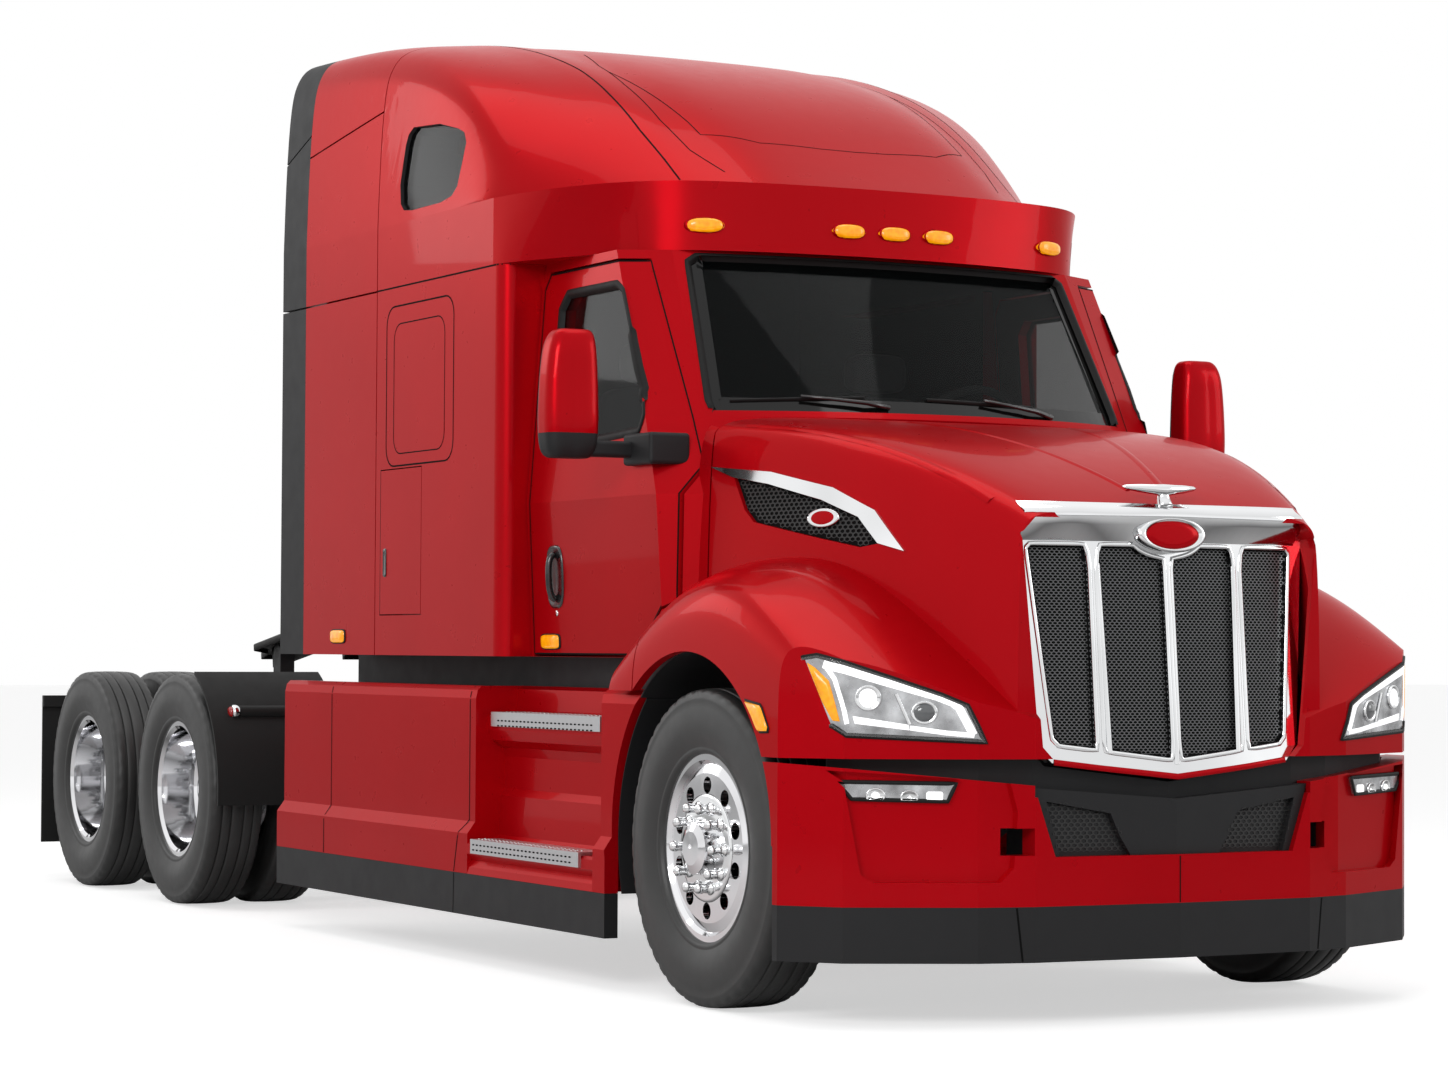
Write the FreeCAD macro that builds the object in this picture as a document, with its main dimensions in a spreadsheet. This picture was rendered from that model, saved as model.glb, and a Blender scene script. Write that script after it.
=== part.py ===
import FreeCAD, Part
import math
import os
import Sketcher

from FreeCAD import Vector

# A conventional road tractor with a high-roof sleeper and three axles.
# X runs forward, Y to the vehicle's left and Z up. Every place along X is
# measured from the front axle, and each piece is then moved ahead by
# "axle_ahead", so that the frame's origin lies on the ground under the
# middle of the whole vehicle.

DRIVING_SIZES = {
    # Overall places and fits
    "front_reach": 1062,
    "flap_reach": 730,
    "fit_gap": 0.3,
    "pin_play": 0.4,
    "door_gap": 16,
    "cowl_gap": 14,
    "panel_gap": 8,
    "overrun": 400,
    # Wheels and tyres
    "wheelbase": 5430,
    "tandem_spacing": 1400,
    "tyre_radius": 552,
    "tyre_width": 280,
    "tyre_bore": 312,
    "rim_width": 210,
    "rim_flange": 324,
    "flange_thickness": 8,
    "rim_wall": 21,
    "front_wheel_y": 1130,
    "drive_wheel_y": 1155,
    "dual_spacing": 343,
    "hub_radius": 112,
    "cap_radius": 95,
    "cap_reach": 66,
    "hub_depth": 60,
    "disc_wall": 22,
    "hand_hole_radius": 29,
    "hand_hole_circle": 217,
    "drive_cap_radius": 78,
    "drive_cap_reach": 165,
    # Chassis
    "rail_top": 1010,
    "rail_height": 270,
    "rail_flange": 85,
    "rail_web": 9,
    "rail_half_width": 432,
    "rail_front": 720,
    "rail_tail": 700,
    "crossmember_height": 150,
    "crossmember_width": 120,
    "horn_width": 60,
    "horn_bottom": 520,
    # Front axle and steering
    "kingpin_y": 930,
    "kingpin_radius": 21,
    "boss_radius": 42,
    "beam_width": 90,
    "beam_depth": 95,
    "beam_drop": 115,
    "beam_drop_y": 560,
    "fork_thickness": 36,
    "fork_gap": 5,
    "spindle_radius": 45,
    "arm_length": 200,
    "arm_width": 32,
    "tie_rod_radius": 18,
    "spring_reach": 700,
    "spring_thickness": 50,
    "spring_width": 85,
    # Drive axles
    "axle_tube_radius": 68,
    "differential_radius": 195,
    "pinion_radius": 70,
    "pinion_reach": 265,
    "shaft_radius": 52,
    "air_spring_radius": 112,
    "air_spring_offset": 360,
    "beam_arm_depth": 70,
    # Engine and cooler
    "engine_length": 960,
    "engine_width": 660,
    "engine_height": 960,
    "engine_bottom": 640,
    "engine_front": 560,
    "gearbox_length": 820,
    "gearbox_width": 420,
    "gearbox_height": 360,
    "cooler_width": 860,
    "cooler_height": 620,
    "cooler_depth": 90,
    "cooler_front": 690,
    # Fifth wheel
    "coupling_station": 6330,
    "coupling_pin_height": 1200,
    "coupling_rise": 80,
    "coupling_plate": 14,
    "coupling_half_width": 460,
    "coupling_front": 400,
    "coupling_rear": 540,
    "coupling_bore": 27,
    "coupling_pin_radius": 25,
    "coupling_tilt": 8,
    # Cab
    "body_floor": 1205,
    "cowl_height": 2090,
    "eave_height": 2738,
    "body_wall": 62,
    "cowl_centre_back": 385,
    "cowl_corner_back": 640,
    "cowl_half_width": 930,
    "header_centre_back": 870,
    "header_corner_back": 985,
    "header_half_width": 880,
    "cab_low_half_width": 1105,
    "cab_belt_half_width": 1132,
    "cab_top_half_width": 1062,
    "belt_height": 1800,
    "door_front_back": 565,
    "door_length": 1135,
    "door_top": 2695,
    "glass_thickness": 6,
    "glass_inset": 16,
    # Sleeper, roof and side fairings
    "sleeper_half_width": 1250,
    "sleeper_side_length": 1270,
    "sleeper_corner": 60,
    "core_half_width": 1203,
    "core_length": 700,
    "core_height": 3500,
    "fairing_length": 830,
    "edge_length": 284,
    "roof_height": 3890,
    "roof_wall": 95,
    "visor_height": 262,
    "visor_centre_back": 815,
    "visor_corner_half_width": 905,
    "brow_lip": 14,
    "sill_depth": 150,
    "seal_rise": 12,
    "seal_wall": 6,
    "hatch_width": 440,
    "hatch_height": 610,
    "hatch_bottom": 1370,
    "hatch_thickness": 50,
    # Hood
    "hood_rear_back": 560,
    "hood_edge_back": 500,
    "hood_top": 2095,
    "hood_nose_top": 1705,
    "hood_wall": 34,
    "fender_half_width": 1298,
    "fender_crest": 1545,
    "hood_low": 882,
    "arch_radius": 640,
    "arch_back": 60,
    "arch_height": 590,
    "liner_radius": 692,
    "seam_back": 458,
    "fender_rear_back": 660,
    "arch_inner_y": 610,
    "liner_thickness": 6,
    "grille_top": 1680,
    "grille_top_half_width": 600,
    "grille_low": 868,
    "grille_low_half_width": 530,
    "grille_point": 812,
    "grille_band": 66,
    "grille_brow": 26,
    "grille_bar": 40,
    "boss_half_width": 118,
    "boss_half_height": 54,
    "boss_centre": 1627,
    "grille_depth": 46,
    "mesh_setback": 22,
    "mesh_thickness": 10,
    "vent_depth": 20,
    "vent_spear": 8,
    # Bumper and skirts
    "bumper_top": 866,
    "bumper_centre_top": 560,
    "bumper_low": 398,
    "bumper_wall": 70,
    "bumper_end": 500,
    "bumper_foot": 588,
    "insert_half_width": 560,
    "insert_top": 772,
    "cheek_depth": 26,
    "valance_low": 215,
    "skirt_front_back": 455,
    "skirt_length": 3560,
    "skirt_foot_back": 690,
    "skirt_half_width": 1290,
    "skirt_wall": 55,
    "skirt_top": 1088,
    "skirt_low": 352,
    "strip_low": 190,
    "step_front_back": 790,
    "step_length": 1130,
    "tread_inset": 95,
    "tread_thickness": 12,
    "tread_lip": 44,
    # Tanks and guards
    "tank_radius": 300,
    "tank_length": 1500,
    "tank_y": 865,
    "tank_z": 690,
    "tank_front_back": 2350,
    "guard_radius": 632,
    "guard_thickness": 12,
    "guard_inner_y": 660,
    "guard_outer_y": 1285,
    "flap_low": 190,
    "flap_top": 970,
    # Inside
    "dash_depth": 420,
    "dash_low": 1720,
    "wheel_rim_radius": 225,
    "wheel_tube": 17,
    "driver_y": 520,
    "seat_width": 500,
    "seat_depth": 480,
    "seat_height": 1660,
    "seat_back_height": 640,
    "seat_back_depth": 130,
    "seat_station": 1560,
    # Mirrors
    "mirror_inner_y": 1290,
    "mirror_outer_y": 1500,
    "mirror_low": 1930,
    "mirror_top": 2400,
    "mirror_depth": 150,
    "mirror_station": 800,
    "mirror_arm": 70,
}


class Size(float):
    """A length that remembers the sheet cells that it comes from."""

    def __new__(cls, value, text=None):
        size = float.__new__(cls, value)
        size.text = text or repr(float(value))
        return size

    def __add__(self, other):
        return Size(float(self) + float(other), f"({self.text} + {text_of(other)})")

    def __radd__(self, other):
        return Size(float(other) + float(self), f"({text_of(other)} + {self.text})")

    def __sub__(self, other):
        return Size(float(self) - float(other), f"({self.text} - {text_of(other)})")

    def __rsub__(self, other):
        return Size(float(other) - float(self), f"({text_of(other)} - {self.text})")

    def __mul__(self, other):
        return Size(float(self) * float(other), f"({self.text} * {text_of(other)})")

    __rmul__ = __mul__

    def __truediv__(self, other):
        return Size(float(self) / float(other), f"({self.text} / {text_of(other)})")

    def __neg__(self):
        return Size(-float(self), f"(0 - {self.text})")


def text_of(value):
    return getattr(value, "text", repr(float(value)))


doc = FreeCAD.newDocument("RoadTractor")
sheet = doc.addObject("Spreadsheet::Sheet", "Sizes")
for row, (alias, number) in enumerate(DRIVING_SIZES.items(), start=1):
    sheet.set(f"A{row}", alias)
    sheet.set(f"B{row}", str(number))
    sheet.setAlias(f"B{row}", alias)
doc.recompute()


class Sizes:
    """Reads each named cell as a Size."""

    def __getattr__(self, alias):
        return Size(sheet.get(alias), f"Sizes.{alias}")


S = Sizes()
ZERO = Size(0, "0")

# Places that several pieces share
FORWARD_DRIVE = -S.wheelbase
REAR_DRIVE = -(S.wheelbase + S.tandem_spacing)
CHASSIS_REAR = REAR_DRIVE - S.rail_tail
FLAP_REAR = REAR_DRIVE - S.flap_reach
AXLE_AHEAD = (S.front_reach - FLAP_REAR) * 0.5 - S.front_reach
RAIL_BOTTOM = S.rail_top - S.rail_height
HUB_BORE = S.spindle_radius + S.pin_play
DOOR_FRONT = -S.door_front_back
DOOR_REAR = DOOR_FRONT - S.door_length
SLEEPER_FRONT = DOOR_REAR - S.door_gap
SEAM = SLEEPER_FRONT - S.sleeper_side_length
SLEEPER_REAR = SEAM - S.core_length
FAIRING_REAR = SEAM - S.fairing_length
EDGE_REAR = FAIRING_REAR - S.edge_length

nodes = []


def bind(item, prop, value):
    """Ties a property to the sheet, or sets it where it holds no length."""
    if isinstance(value, Size) and "Sizes." in value.text:
        item.setExpression(prop, value.text)
    else:
        item.setExpression(prop, repr(float(value)))


def place(item, x=ZERO, y=ZERO, z=ZERO):
    bind(item, "Placement.Base.x", x)
    bind(item, "Placement.Base.y", y)
    bind(item, "Placement.Base.z", z)


def node(item, label):
    """Names a finished sub-part and moves it ahead with the front axle."""
    item.Label = label
    item.setExpression("Placement.Base.x", AXLE_AHEAD.text)
    nodes.append(item)
    return item


def feature(label, shape):
    """Keeps a shape that Part's functions made as a named sub-part."""
    item = doc.addObject("Part::Feature", label)
    item.Shape = shape
    item.Placement = FreeCAD.Placement()
    return node(item, label)


def box(name, x, y, z):
    """A block between a low and a high place on each axis."""
    item = doc.addObject("Part::Box", name)
    bind(item, "Length", x[1] - x[0])
    bind(item, "Width", y[1] - y[0])
    bind(item, "Height", z[1] - z[0])
    place(item, x[0], y[0], z[0])
    return item


def rod(name, radius, length, start, axis):
    """A cylinder that runs from a start point along X, Y or Z."""
    item = doc.addObject("Part::Cylinder", name)
    bind(item, "Radius", radius)
    bind(item, "Height", length)
    turns = {"X": Vector(0, 1, 0), "Y": Vector(-1, 0, 0), "Z": Vector(0, 0, 1)}
    quarter = 0 if axis == "Z" else 90
    item.Placement = FreeCAD.Placement(Vector(), FreeCAD.Rotation(turns[axis], quarter))
    place(item, *start)
    return item


def fuse(name, items):
    item = doc.addObject("Part::MultiFuse", name)
    item.Shapes = items
    return item


def cut(name, base, tool):
    item = doc.addObject("Part::Cut", name)
    item.Base = base
    item.Tool = tool
    return item


def plane_of(body, role):
    return next(item for item in body.Origin.OriginFeatures if item.Role == role)


def outline(body, name, role, loops, offset=None):
    """A sketch of closed loops whose corners are all tied to the sheet."""
    sketch = body.newObject("Sketcher::SketchObject", name)
    sketch.AttachmentSupport = [(plane_of(body, role), "")]
    sketch.MapMode = "FlatFace"
    if offset is not None:
        bind(sketch, "AttachmentOffset.Base.z", offset)
    for loop in loops:
        first = sketch.GeometryCount
        count = len(loop)
        corners = [Vector(float(a), float(b), 0) for a, b in loop]
        for index in range(count):
            line = Part.LineSegment(corners[index], corners[(index + 1) % count])
            sketch.addGeometry(line, False)
        for index in range(count):
            following = first + (index + 1) % count
            sketch.addConstraint(Sketcher.Constraint("Coincident", first + index, 2, following, 1))
        for index, (a, b) in enumerate(loop):
            for kind, value in (("DistanceX", a), ("DistanceY", b)):
                rule = Sketcher.Constraint(kind, -1, 1, first + index, 1, float(value))
                number = sketch.addConstraint(rule)
                bind(sketch, f"Constraints[{number}]", value)
    return sketch


def pad(body, name, sketch, length, side="One side", reverse=False):
    item = body.newObject("PartDesign::Pad", name)
    item.Profile = sketch
    item.SideType = side
    item.Reversed = reverse
    bind(item, "Length", length)
    return item


def revolution(body, name, sketch):
    item = body.newObject("PartDesign::Revolution", name)
    item.Profile = sketch
    item.ReferenceAxis = (sketch, ["H_Axis"])
    item.Angle = 360
    return item


# Shapes that a sheet-bound primitive can't give: panels between curved skins

def wire_through(corners, arcs=()):
    """A closed wire: straight runs, and arcs where an index names a middle point."""
    edges = []
    count = len(corners)
    index = 0
    while index < count:
        following = (index + 1) % count
        if following in arcs:
            end = (index + 2) % count
            arc = Part.Arc(corners[index], corners[following], corners[end])
            edges.append(arc.toShape())
            index += 2
        else:
            edges.append(Part.LineSegment(corners[index], corners[following]).toShape())
            index += 1
    return Part.Wire(edges)


def slab(points, plane, low, high, arcs=()):
    """A prism of an outline drawn on the XY, XZ or YZ plane."""
    makers = {
        "XY": lambda a, b, c: Vector(a, b, c),
        "XZ": lambda a, b, c: Vector(a, c, b),
        "YZ": lambda a, b, c: Vector(c, a, b),
    }
    make = makers[plane]
    corners = [make(float(a), float(b), float(low)) for a, b in points]
    along = make(0, 0, float(high) - float(low))
    return Part.Face(wire_through(corners, arcs)).extrude(along)


def grown(points, by):
    """A closed outline with every side moved outward by one distance."""
    points = [(float(a), float(b)) for a, b in points]
    count = len(points)
    area = sum(points[i - 1][0] * points[i][1] - points[i][0] * points[i - 1][1] for i in range(count))
    out = float(by) * (1 if area > 0 else -1)
    lines = []
    for index, (a, b) in enumerate(points):
        c, d = points[(index + 1) % count]
        length = math.hypot(c - a, d - b)
        nx = (d - b) / length
        ny = (a - c) / length
        lines.append((nx, ny, nx * a + ny * b + out))
    moved = []
    for index in range(count):
        n1, m1, k1 = lines[index - 1]
        n2, m2, k2 = lines[index]
        crossing = n1 * m2 - n2 * m1
        moved.append(((k1 * m2 - k2 * m1) / crossing, (n1 * k2 - n2 * k1) / crossing))
    return moved


def block(x, y, z):
    corner = Vector(float(x[0]), float(y[0]), float(z[0]))
    spans = [float(pair[1]) - float(pair[0]) for pair in (x, y, z)]
    return Part.makeBox(*spans, corner)


def mirrored(shape):
    return shape.mirror(Vector(), Vector(0, 1, 0))


def both_sides(shape):
    """The same solid on the left and on the right, as one compound."""
    return Part.Compound(list(shape.Solids) + list(mirrored(shape).Solids))


def solids_of(shape):
    solids = shape.Solids
    return solids[0] if len(solids) == 1 else Part.Compound(solids)


def plan_wire(points, height):
    """A closed plan curve, mirrored about the centre plane, at one height.

    The points run from the centre of the nose to the rear on the left. The
    second gives the windscreen corner and the third the side's front end.
    """
    (xc, _), (xk, yk), (xs, ys), (xr, yr) = [(float(a), float(b)) for a, b in points]
    z = float(height)
    centre = Vector(xc, 0, z)
    edges = [Part.Arc(Vector(xk, -yk, z), centre, Vector(xk, yk, z)).toShape()]
    edges.append(Part.LineSegment(Vector(xk, yk, z), Vector(xs, ys, z)).toShape())
    edges.append(Part.LineSegment(Vector(xs, ys, z), Vector(xr, yr, z)).toShape())
    edges.append(Part.LineSegment(Vector(xr, yr, z), Vector(xr, -yr, z)).toShape())
    edges.append(Part.LineSegment(Vector(xr, -yr, z), Vector(xs, -ys, z)).toShape())
    edges.append(Part.LineSegment(Vector(xs, -ys, z), Vector(xk, -yk, z)).toShape())
    return Part.Wire(edges)


def uniform_knots(count, degree):
    inner = count - degree - 1
    return [float(value) for value in range(inner + 2)], [degree + 1] + [1] * inner + [degree + 1]


def hull_skin(rows):
    """A closed solid under a smooth skin.

    Each row holds the poles of one cross-section at its own station along X,
    from the low right corner over the top to the low left corner.
    """
    across = len(rows[0])
    knots_u, times_u = uniform_knots(len(rows), 3)
    knots_v, times_v = uniform_knots(across, 3)
    surface = Part.BSplineSurface()
    surface.buildFromPolesMultsKnots(rows, times_u, times_v, knots_u, knots_v, False, False, 3, 3)
    face = surface.toShape()
    umin, umax, vmin, vmax = face.ParameterRange
    ends = []
    for u in (umin, umax):
        rim = surface.uIso(u).toShape()
        chord = Part.LineSegment(surface.value(u, vmax), surface.value(u, vmin)).toShape()
        ends.append(Part.Face(Part.Wire([rim, chord])))
    low_edges = [surface.vIso(v).toShape() for v in (vmin, vmax)]
    for u in (umin, umax):
        low_edges.append(Part.LineSegment(surface.value(u, vmin), surface.value(u, vmax)).toShape())
    floor = Part.Face(Part.Wire(Part.sortEdges(low_edges)[0]))
    shell = Part.Shell([face, floor] + ends)
    shell.sewShape()
    solid = Part.Solid(shell)
    if solid.Volume < 0:
        solid.reverse()
    return solid


def mirrored_row(x, half):
    """A row of poles from one half of a section, given as (y, z) from low to top."""
    right = [Vector(float(x), -float(y), float(z)) for y, z in half]
    left = [Vector(float(x), float(y), float(z)) for y, z in reversed(half)]
    return right + left


# Wheels

def tyre_profile():
    """The tyre's section across the tread, as (place along the axle, radius)."""
    half = S.tyre_width * 0.5
    bead = S.rim_width * 0.5 - S.flange_thickness - S.fit_gap
    height = S.tyre_radius - S.tyre_bore
    lip = S.rim_flange + S.fit_gap
    side = [
        (bead, S.tyre_bore),
        (bead, lip),
        (half * 0.8, lip + height * 0.04),
        (half, S.tyre_bore + height * 0.42),
        (half * 0.975, S.tyre_bore + height * 0.70),
        (half * 0.90, S.tyre_bore + height * 0.91),
        (half * 0.78, S.tyre_bore + height * 0.985),
        (half * 0.40, S.tyre_radius),
    ]
    return side + [(-a, b) for a, b in reversed(side)]


def tyre_body(label, places, axle_x):
    """A tyre, or the two tyres of a dual wheel."""
    body = doc.addObject("PartDesign::Body", label)
    loops = [[(a + y, b) for a, b in tyre_profile()] for y in places]
    sketch = outline(body, label + "_section", "XY_Plane", loops)
    body.Tip = revolution(body, label + "_ring", sketch)
    seat_wheel(body, label, axle_x)
    return body


def seat_wheel(body, label, axle_x):
    """Turns a body made about X so that its axis lies along Y, on the axle."""
    body.Label = label
    turn = FreeCAD.Rotation(Vector(0, 0, 1), 90)
    body.Placement = FreeCAD.Placement(Vector(), turn)
    place(body, axle_x + AXLE_AHEAD, ZERO, S.tyre_radius)
    nodes.append(body)


def rim_side(sign):
    """Half the barrel's outline, from its outer lip to the bead seat."""
    half = S.rim_width * 0.5
    seat = S.tyre_bore - S.fit_gap
    inner = seat - S.rim_wall
    return [
        (half * sign, inner + S.rim_wall * 0.6),
        (half * sign, S.rim_flange),
        ((half - S.flange_thickness) * sign, S.rim_flange),
        ((half - S.flange_thickness) * sign, seat),
    ]


def front_rim(label, sign):
    """A polished disc wheel with its hub and cap. The disc lies outboard."""
    half = S.rim_width * 0.5
    inner = S.tyre_bore - S.fit_gap - S.rim_wall
    face = half - S.fit_gap
    back = face - S.disc_wall
    loop = [
        (face * 0.86, inner),
        (face * 0.97, inner * 0.89),
        (face, inner * 0.52),
        (face, S.cap_radius),
        (face + S.cap_reach * 0.78, S.cap_radius * 0.94),
        (face + S.cap_reach * 0.96, S.cap_radius * 0.62),
        (face + S.cap_reach, ZERO),
        (S.hub_depth, ZERO),
        (S.hub_depth, HUB_BORE),
        (-S.hub_depth, HUB_BORE),
        (-S.hub_depth, S.hub_radius),
        (back * 0.80, S.hub_radius + S.disc_wall * 0.4),
        (back, inner * 0.86),
        (back * 0.72, inner),
    ]
    barrel = list(reversed(rim_side(-1))) + [(-half * 0.85, inner)]
    loop = rim_side(1) + barrel + list(reversed(loop))
    loop = [(a * sign + S.front_wheel_y * sign, b) for a, b in loop]
    body = doc.addObject("PartDesign::Body", label)
    sketch = outline(body, label + "_section", "XY_Plane", [loop])
    revolution(body, label + "_disc", sketch)
    hand_holes(body, label, sign)
    seat_wheel(body, label, ZERO)


def hand_holes(body, label, sign):
    """Ten round holes through the disc, on one circle."""
    sketch = body.newObject("Sketcher::SketchObject", label + "_hole")
    sketch.AttachmentSupport = [(plane_of(body, "YZ_Plane"), "")]
    sketch.MapMode = "FlatFace"
    bind(sketch, "AttachmentOffset.Base.z", S.front_wheel_y * sign)
    circle = Part.Circle(
        Vector(0, float(S.hand_hole_circle), 0), Vector(0, 0, 1), float(S.hand_hole_radius),
    )
    sketch.addGeometry(circle, False)
    for kind, picks, value in (
        ("Radius", (0,), S.hand_hole_radius),
        ("DistanceX", (-1, 1, 0, 3), ZERO),
        ("DistanceY", (-1, 1, 0, 3), S.hand_hole_circle),
    ):
        number = sketch.addConstraint(Sketcher.Constraint(kind, *picks, float(value)))
        bind(sketch, f"Constraints[{number}]", value)
    pocket = body.newObject("PartDesign::Pocket", label + "_hand_hole")
    pocket.Profile = sketch
    pocket.Reversed = sign > 0
    bind(pocket, "Length", S.rim_width)
    pattern = body.newObject("PartDesign::PolarPattern", label + "_hand_holes")
    pattern.Originals = [pocket]
    pattern.Axis = (sketch, ["N_Axis"])
    pattern.Axis = (plane_of(body, "X_Axis"), [""])
    pattern.Angle = 360
    pattern.Occurrences = 10
    body.Tip = pattern


def drive_rim(label, axle_x, sign):
    """Two disc wheels back to back on one hub, with deep dishes both ways."""
    half = S.rim_width * 0.5
    seat = S.tyre_bore - S.fit_gap
    inner = seat - S.rim_wall
    mid = S.dual_spacing * 0.5
    disc = S.disc_wall * 0.6
    outer_dish = [
        (mid + half, inner + S.rim_wall * 0.6),
        (mid + half * 0.85, inner),
        (mid * 0.56, inner),
        (mid * 0.34, inner * 0.86),
        (disc, inner * 0.68),
        (disc, S.drive_cap_radius),
        (S.drive_cap_reach * 0.94, S.drive_cap_radius * 0.93),
        (S.drive_cap_reach, S.drive_cap_radius * 0.5),
        (S.drive_cap_reach, ZERO),
        (S.hub_depth, ZERO),
        (S.hub_depth, HUB_BORE),
        (-S.dual_spacing * 0.42, HUB_BORE),
        (-S.dual_spacing * 0.42, S.hub_radius),
        (-disc, S.hub_radius * 1.12),
        (-disc, inner * 0.68),
        (-mid * 0.34, inner * 0.86),
        (-mid * 0.56, inner),
        (-mid - half * 0.85, inner),
        (-mid - half, inner + S.rim_wall * 0.6),
    ]
    seats = [
        (-mid - half, S.rim_flange),
        (-mid - half + S.flange_thickness, S.rim_flange),
        (-mid - half + S.flange_thickness, seat),
        (-mid + half - S.flange_thickness, seat),
        (-mid + half - S.flange_thickness, S.rim_flange),
        (-mid + half, S.rim_flange),
        (-disc * 0.6, inner * 0.80),
        (disc * 0.6, inner * 0.80),
        (mid - half, S.rim_flange),
        (mid - half + S.flange_thickness, S.rim_flange),
        (mid - half + S.flange_thickness, seat),
        (mid + half - S.flange_thickness, seat),
        (mid + half - S.flange_thickness, S.rim_flange),
        (mid + half, S.rim_flange),
    ]
    centre = (S.drive_wheel_y - S.dual_spacing * 0.5) * sign
    loop = [(a * sign + centre, b) for a, b in outer_dish + seats]
    body = doc.addObject("PartDesign::Body", label)
    sketch = outline(body, label + "_section", "XY_Plane", [loop])
    body.Tip = revolution(body, label + "_pair", sketch)
    seat_wheel(body, label, axle_x)


def wheels():
    for side, sign in (("left", 1), ("right", -1)):
        tyre_body(f"front_tyre_{side}", [S.front_wheel_y * sign], ZERO)
        front_rim(f"front_rim_{side}", sign)
        for axle, station in (("forward", FORWARD_DRIVE), ("rear", REAR_DRIVE)):
            outer = S.drive_wheel_y * sign
            inner = (S.drive_wheel_y - S.dual_spacing) * sign
            tyre_body(f"{axle}_tyres_{side}", [outer, inner], station)
            drive_rim(f"{axle}_rims_{side}", station, sign)


# Chassis

def frame():
    """Two channel rails, their crossmembers, bumper horns and coupling stands."""
    body = doc.addObject("PartDesign::Body", "rails")
    top = S.rail_top
    web = S.rail_web
    outer = S.rail_half_width
    inner = outer - S.rail_flange
    channel = [
        (inner, RAIL_BOTTOM),
        (outer, RAIL_BOTTOM),
        (outer, top),
        (inner, top),
        (inner, top - web),
        (outer - web, top - web),
        (outer - web, RAIL_BOTTOM + web),
        (inner, RAIL_BOTTOM + web),
    ]
    other = [(-y, z) for y, z in channel]
    sketch = outline(body, "rail_section", "YZ_Plane", [channel, other], S.rail_front)
    pad(body, "rail_pad", sketch, S.rail_front - CHASSIS_REAR, reverse=True)
    middle = top - S.rail_height * 0.42
    members = []
    for station in (
        S.rail_front - S.crossmember_width * 0.6,
        -S.engine_length - S.gearbox_length,
        -S.wheelbase * 0.62,
        FORWARD_DRIVE + S.tyre_radius,
        (FORWARD_DRIVE + REAR_DRIVE) * 0.5,
        CHASSIS_REAR + S.crossmember_width,
    ):
        low = station - S.crossmember_width * 0.5
        high = station + S.crossmember_width * 0.5
        floor = middle - S.crossmember_height * 0.5
        roof = middle + S.crossmember_height * 0.5
        members.append([(low, floor), (high, floor), (high, roof), (low, roof)])
    sketch = outline(body, "member_section", "XZ_Plane", members)
    body.Tip = pad(body, "member_pad", sketch, (outer - web * 0.5) * 2, "Symmetric")
    pieces = [body]
    for side, sign in (("left", 1), ("right", -1)):
        pieces += frame_brackets(side, sign)
    node(fuse("frame_fused", pieces + coupling_stands()), "frame")


def spread(low, high, sign):
    """A low and a high place across the vehicle, for one side."""
    return (low, high) if sign > 0 else (-high, -low)


def frame_brackets(side, sign):
    """What one rail carries: the bumper horn and the cradles of a tank."""
    outer = S.rail_half_width
    wide = S.horn_width
    horn = spread(outer - wide, outer, sign)
    slope = (S.front_reach - S.bumper_wall) * (1 - NOSE_PLAN_SHARES[1][0])
    reach = S.front_reach - S.bumper_wall - S.fit_gap
    reach = reach - slope * (outer / ((S.fender_half_width - S.bumper_wall) * NOSE_PLAN_SHARES[1][1]))
    low = S.horn_bottom
    made = [
        box(f"horn_{side}", (S.rail_front - wide, reach), horn, (low, low + wide * 2)),
        box(
            f"horn_drop_{side}", (S.rail_front - wide, S.rail_front), horn, (low, RAIL_BOTTOM + S.rail_web),
        ),
    ]
    cradle_y = spread(outer - S.rail_web, S.tank_y - S.tank_radius * 0.6, sign)
    cradle_z = (RAIL_BOTTOM + S.rail_web, S.rail_top - S.rail_web)
    start = (-S.tank_front_back - S.tank_length * 1.5, S.tank_y * sign, S.tank_z)
    for index, share in enumerate((0.2, 0.8)):
        station = -S.tank_front_back - S.tank_length * share
        strap = (station - wide * 0.5, station + wide * 0.5)
        cradle = box(f"cradle_{side}_{index}", strap, cradle_y, cradle_z)
        round_off = rod(
            f"cradle_seat_{side}_{index}", S.tank_radius + S.fit_gap, S.tank_length * 2, start, "X",
        )
        made.append(cut(f"cradle_cut_{side}_{index}", cradle, round_off))
    return made


def coupling_stands():
    """Two stands on the rails that hold the fifth wheel's pins."""
    half = S.coupling_pin_radius * 2
    station = -S.coupling_station
    top = S.rail_top
    made = []
    for side, sign in (("left", 1), ("right", -1)):
        low = S.rail_half_width - S.rail_flange
        y = spread(low, S.rail_half_width - S.rail_web, sign)
        foot = (station - half * 3, station + half * 3)
        base = box(f"stand_foot_{side}", foot, y, (top - S.rail_web * 0.5, top + half * 0.4))
        post = box(f"stand_post_{side}", (station - half, station + half), y, (top, S.coupling_pin_height))
        start = (station, y[0], S.coupling_pin_height)
        eye = rod(f"stand_eye_{side}", half, y[1] - y[0], start, "Y")
        solid = fuse(f"stand_solid_{side}", [base, post, eye])
        bore_start = (station, y[0] - S.overrun, S.coupling_pin_height)
        bore = rod(f"stand_bore_{side}", S.coupling_pin_radius + S.pin_play, S.overrun * 3, bore_start, "Y")
        made.append(cut(f"stand_cut_{side}", solid, bore))
    return made


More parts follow.
